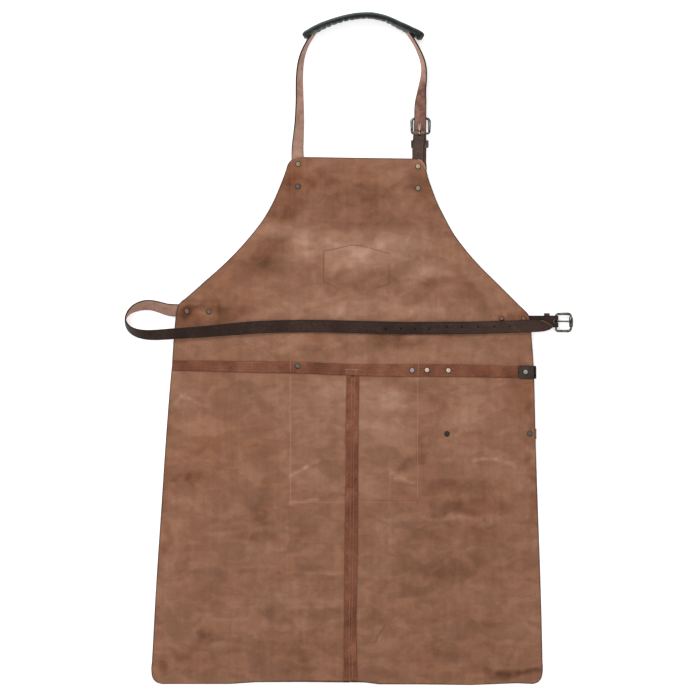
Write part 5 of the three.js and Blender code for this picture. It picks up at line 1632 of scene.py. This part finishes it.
# Rivets: a cap on the floor side, a post, and a washer with a low domed head on the flesh side
def rivet(name, x, y, below, above, finish):
    cap = float(underside(x, y)) - below - RIVET_PLATE
    head = float(panel_top(x, y)) + above
    profile = [(r, cap + z) for r, z in RIVET_CAP] + [(r, head + z) for r, z in RIVET_HEAD]
    ring = ring_of(RIVET_SIDES, np.array([1.0, 0, 0]), np.array([0, 1.0, 0]))
    sections = [np.array([x, y, z]) + r * ring for r, z in profile]
    obj = lofted("rivet_head_" + name, sections, [RIVET_LOOKS[finish], RIVET_RIM])
    repaint(obj, EDGE, lambda px, py, pz: (np.hypot(px - x, py - y) > DOME_RADIUS) | (pz < head))
    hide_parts("rivet_" + name)
    return obj


rivets = [rivet(*row) for row in RIVETS]

# What each piece stands for, its slot and the body that carries it
PIECES = [
    (bib, "bib_panel", "suede", "apron"),
    (skirt_left, "skirt_panel_left", "suede", "apron"),
    (skirt_right, "skirt_panel_right", "suede", "apron"),
    (waist_strip, "waist_seam_strip", "seam_strip", "apron"),
    (centre_strip, "centre_seam_strip", "seam_strip", "apron"),
    (waist_stitches, None, "seam_strip", "apron"),
    (centre_stitches, None, "seam_strip", "apron"),
    (cross_stitches, None, "seam_strip", "apron"),
    (pocket_stitches, None, "suede", "apron"),
    (label_stitches, None, "suede", "apron"),
    (pocket, "front_pocket", "grain_leather", "apron"),
    (upper_band, "upper_band", "grain_leather", "apron"),
    (lower_band, "lower_band", "grain_leather", "apron"),
    (neck_strap, "neck_strap", "strap_leather", "apron"),
    (neck_pad, "neck_pad", "pad_leather", "apron"),
    (neck_tab, "neck_tab", "grain_leather", "apron"),
    (neck_keeper, "neck_keeper", "grain_leather", "apron"),
    (neck_frame, "neck_buckle_frame", "antique_nickel", "apron"),
    (neck_prong, "neck_buckle_prong", "antique_nickel", "apron"),
    (waist_strap, "waist_strap", "strap_leather", "apron"),
    (waist_tab, "waist_tab", "grain_leather", "apron"),
    (waist_keeper, "waist_keeper", "grain_leather", "apron"),
    (waist_frame, "waist_buckle_frame", "antique_nickel", "waist_buckle"),
    (roller, "waist_buckle_roller", "antique_nickel", "waist_roller"),
    (waist_prong, "waist_buckle_prong", "antique_nickel", "waist_prong"),
]
for piece, node, slot, body in PIECES:
    if node:
        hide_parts(node)
    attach(piece, body)
for piece, row in zip(rivets, RIVETS):
    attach(piece, "apron")

# Floor, light and camera
floor_x, floor_y = np.meshgrid(*[np.linspace(-FLOOR_HALF, FLOOR_HALF, FLOOR_LINES)] * 2)
floor_points = np.column_stack([floor_x.ravel(), floor_y.ravel(), np.full(floor_x.size, FLOOR_HEIGHT)])
floor = make("studio_floor_plane", floor_points, grid_quads(FLOOR_LINES, FLOOR_LINES), [FLOOR], flat=True)

world = bpy.data.worlds.new("studio")
bpy.context.scene.world = world
world.use_nodes = True
world.node_tree.nodes["Background"].inputs["Color"].default_value = (1.0, 1.0, 1.0, 1)
world.node_tree.nodes["Background"].inputs["Strength"].default_value = SKY_STRENGTH

for name, place, size, power in LIGHTS:
    light_data = bpy.data.lights.new(name, "AREA")
    light_data.shape = "DISK"
    light_data.size = size
    light_data.energy = power
    light = bpy.data.objects.new(name, light_data)
    light.location = place
    light.rotation_euler = (-Vector(place)).to_track_quat("-Z", "Y").to_euler()
    collection.objects.link(light)

camera_data = bpy.data.cameras.new("camera")
camera_data.sensor_width = SENSOR
camera_data.lens = LENS
camera_data.clip_end = FAR_CLIP
camera_height = FRAME_WIDTH * MM * LENS / SENSOR
camera = bpy.data.objects.new("camera", camera_data)
camera.location = (*(np.array(FRAME_CENTRE) + SHIFT[:2]) * MM, camera_height)
collection.objects.link(camera)
bpy.context.scene.camera = camera
bpy.context.scene.view_settings.view_transform = "Standard"
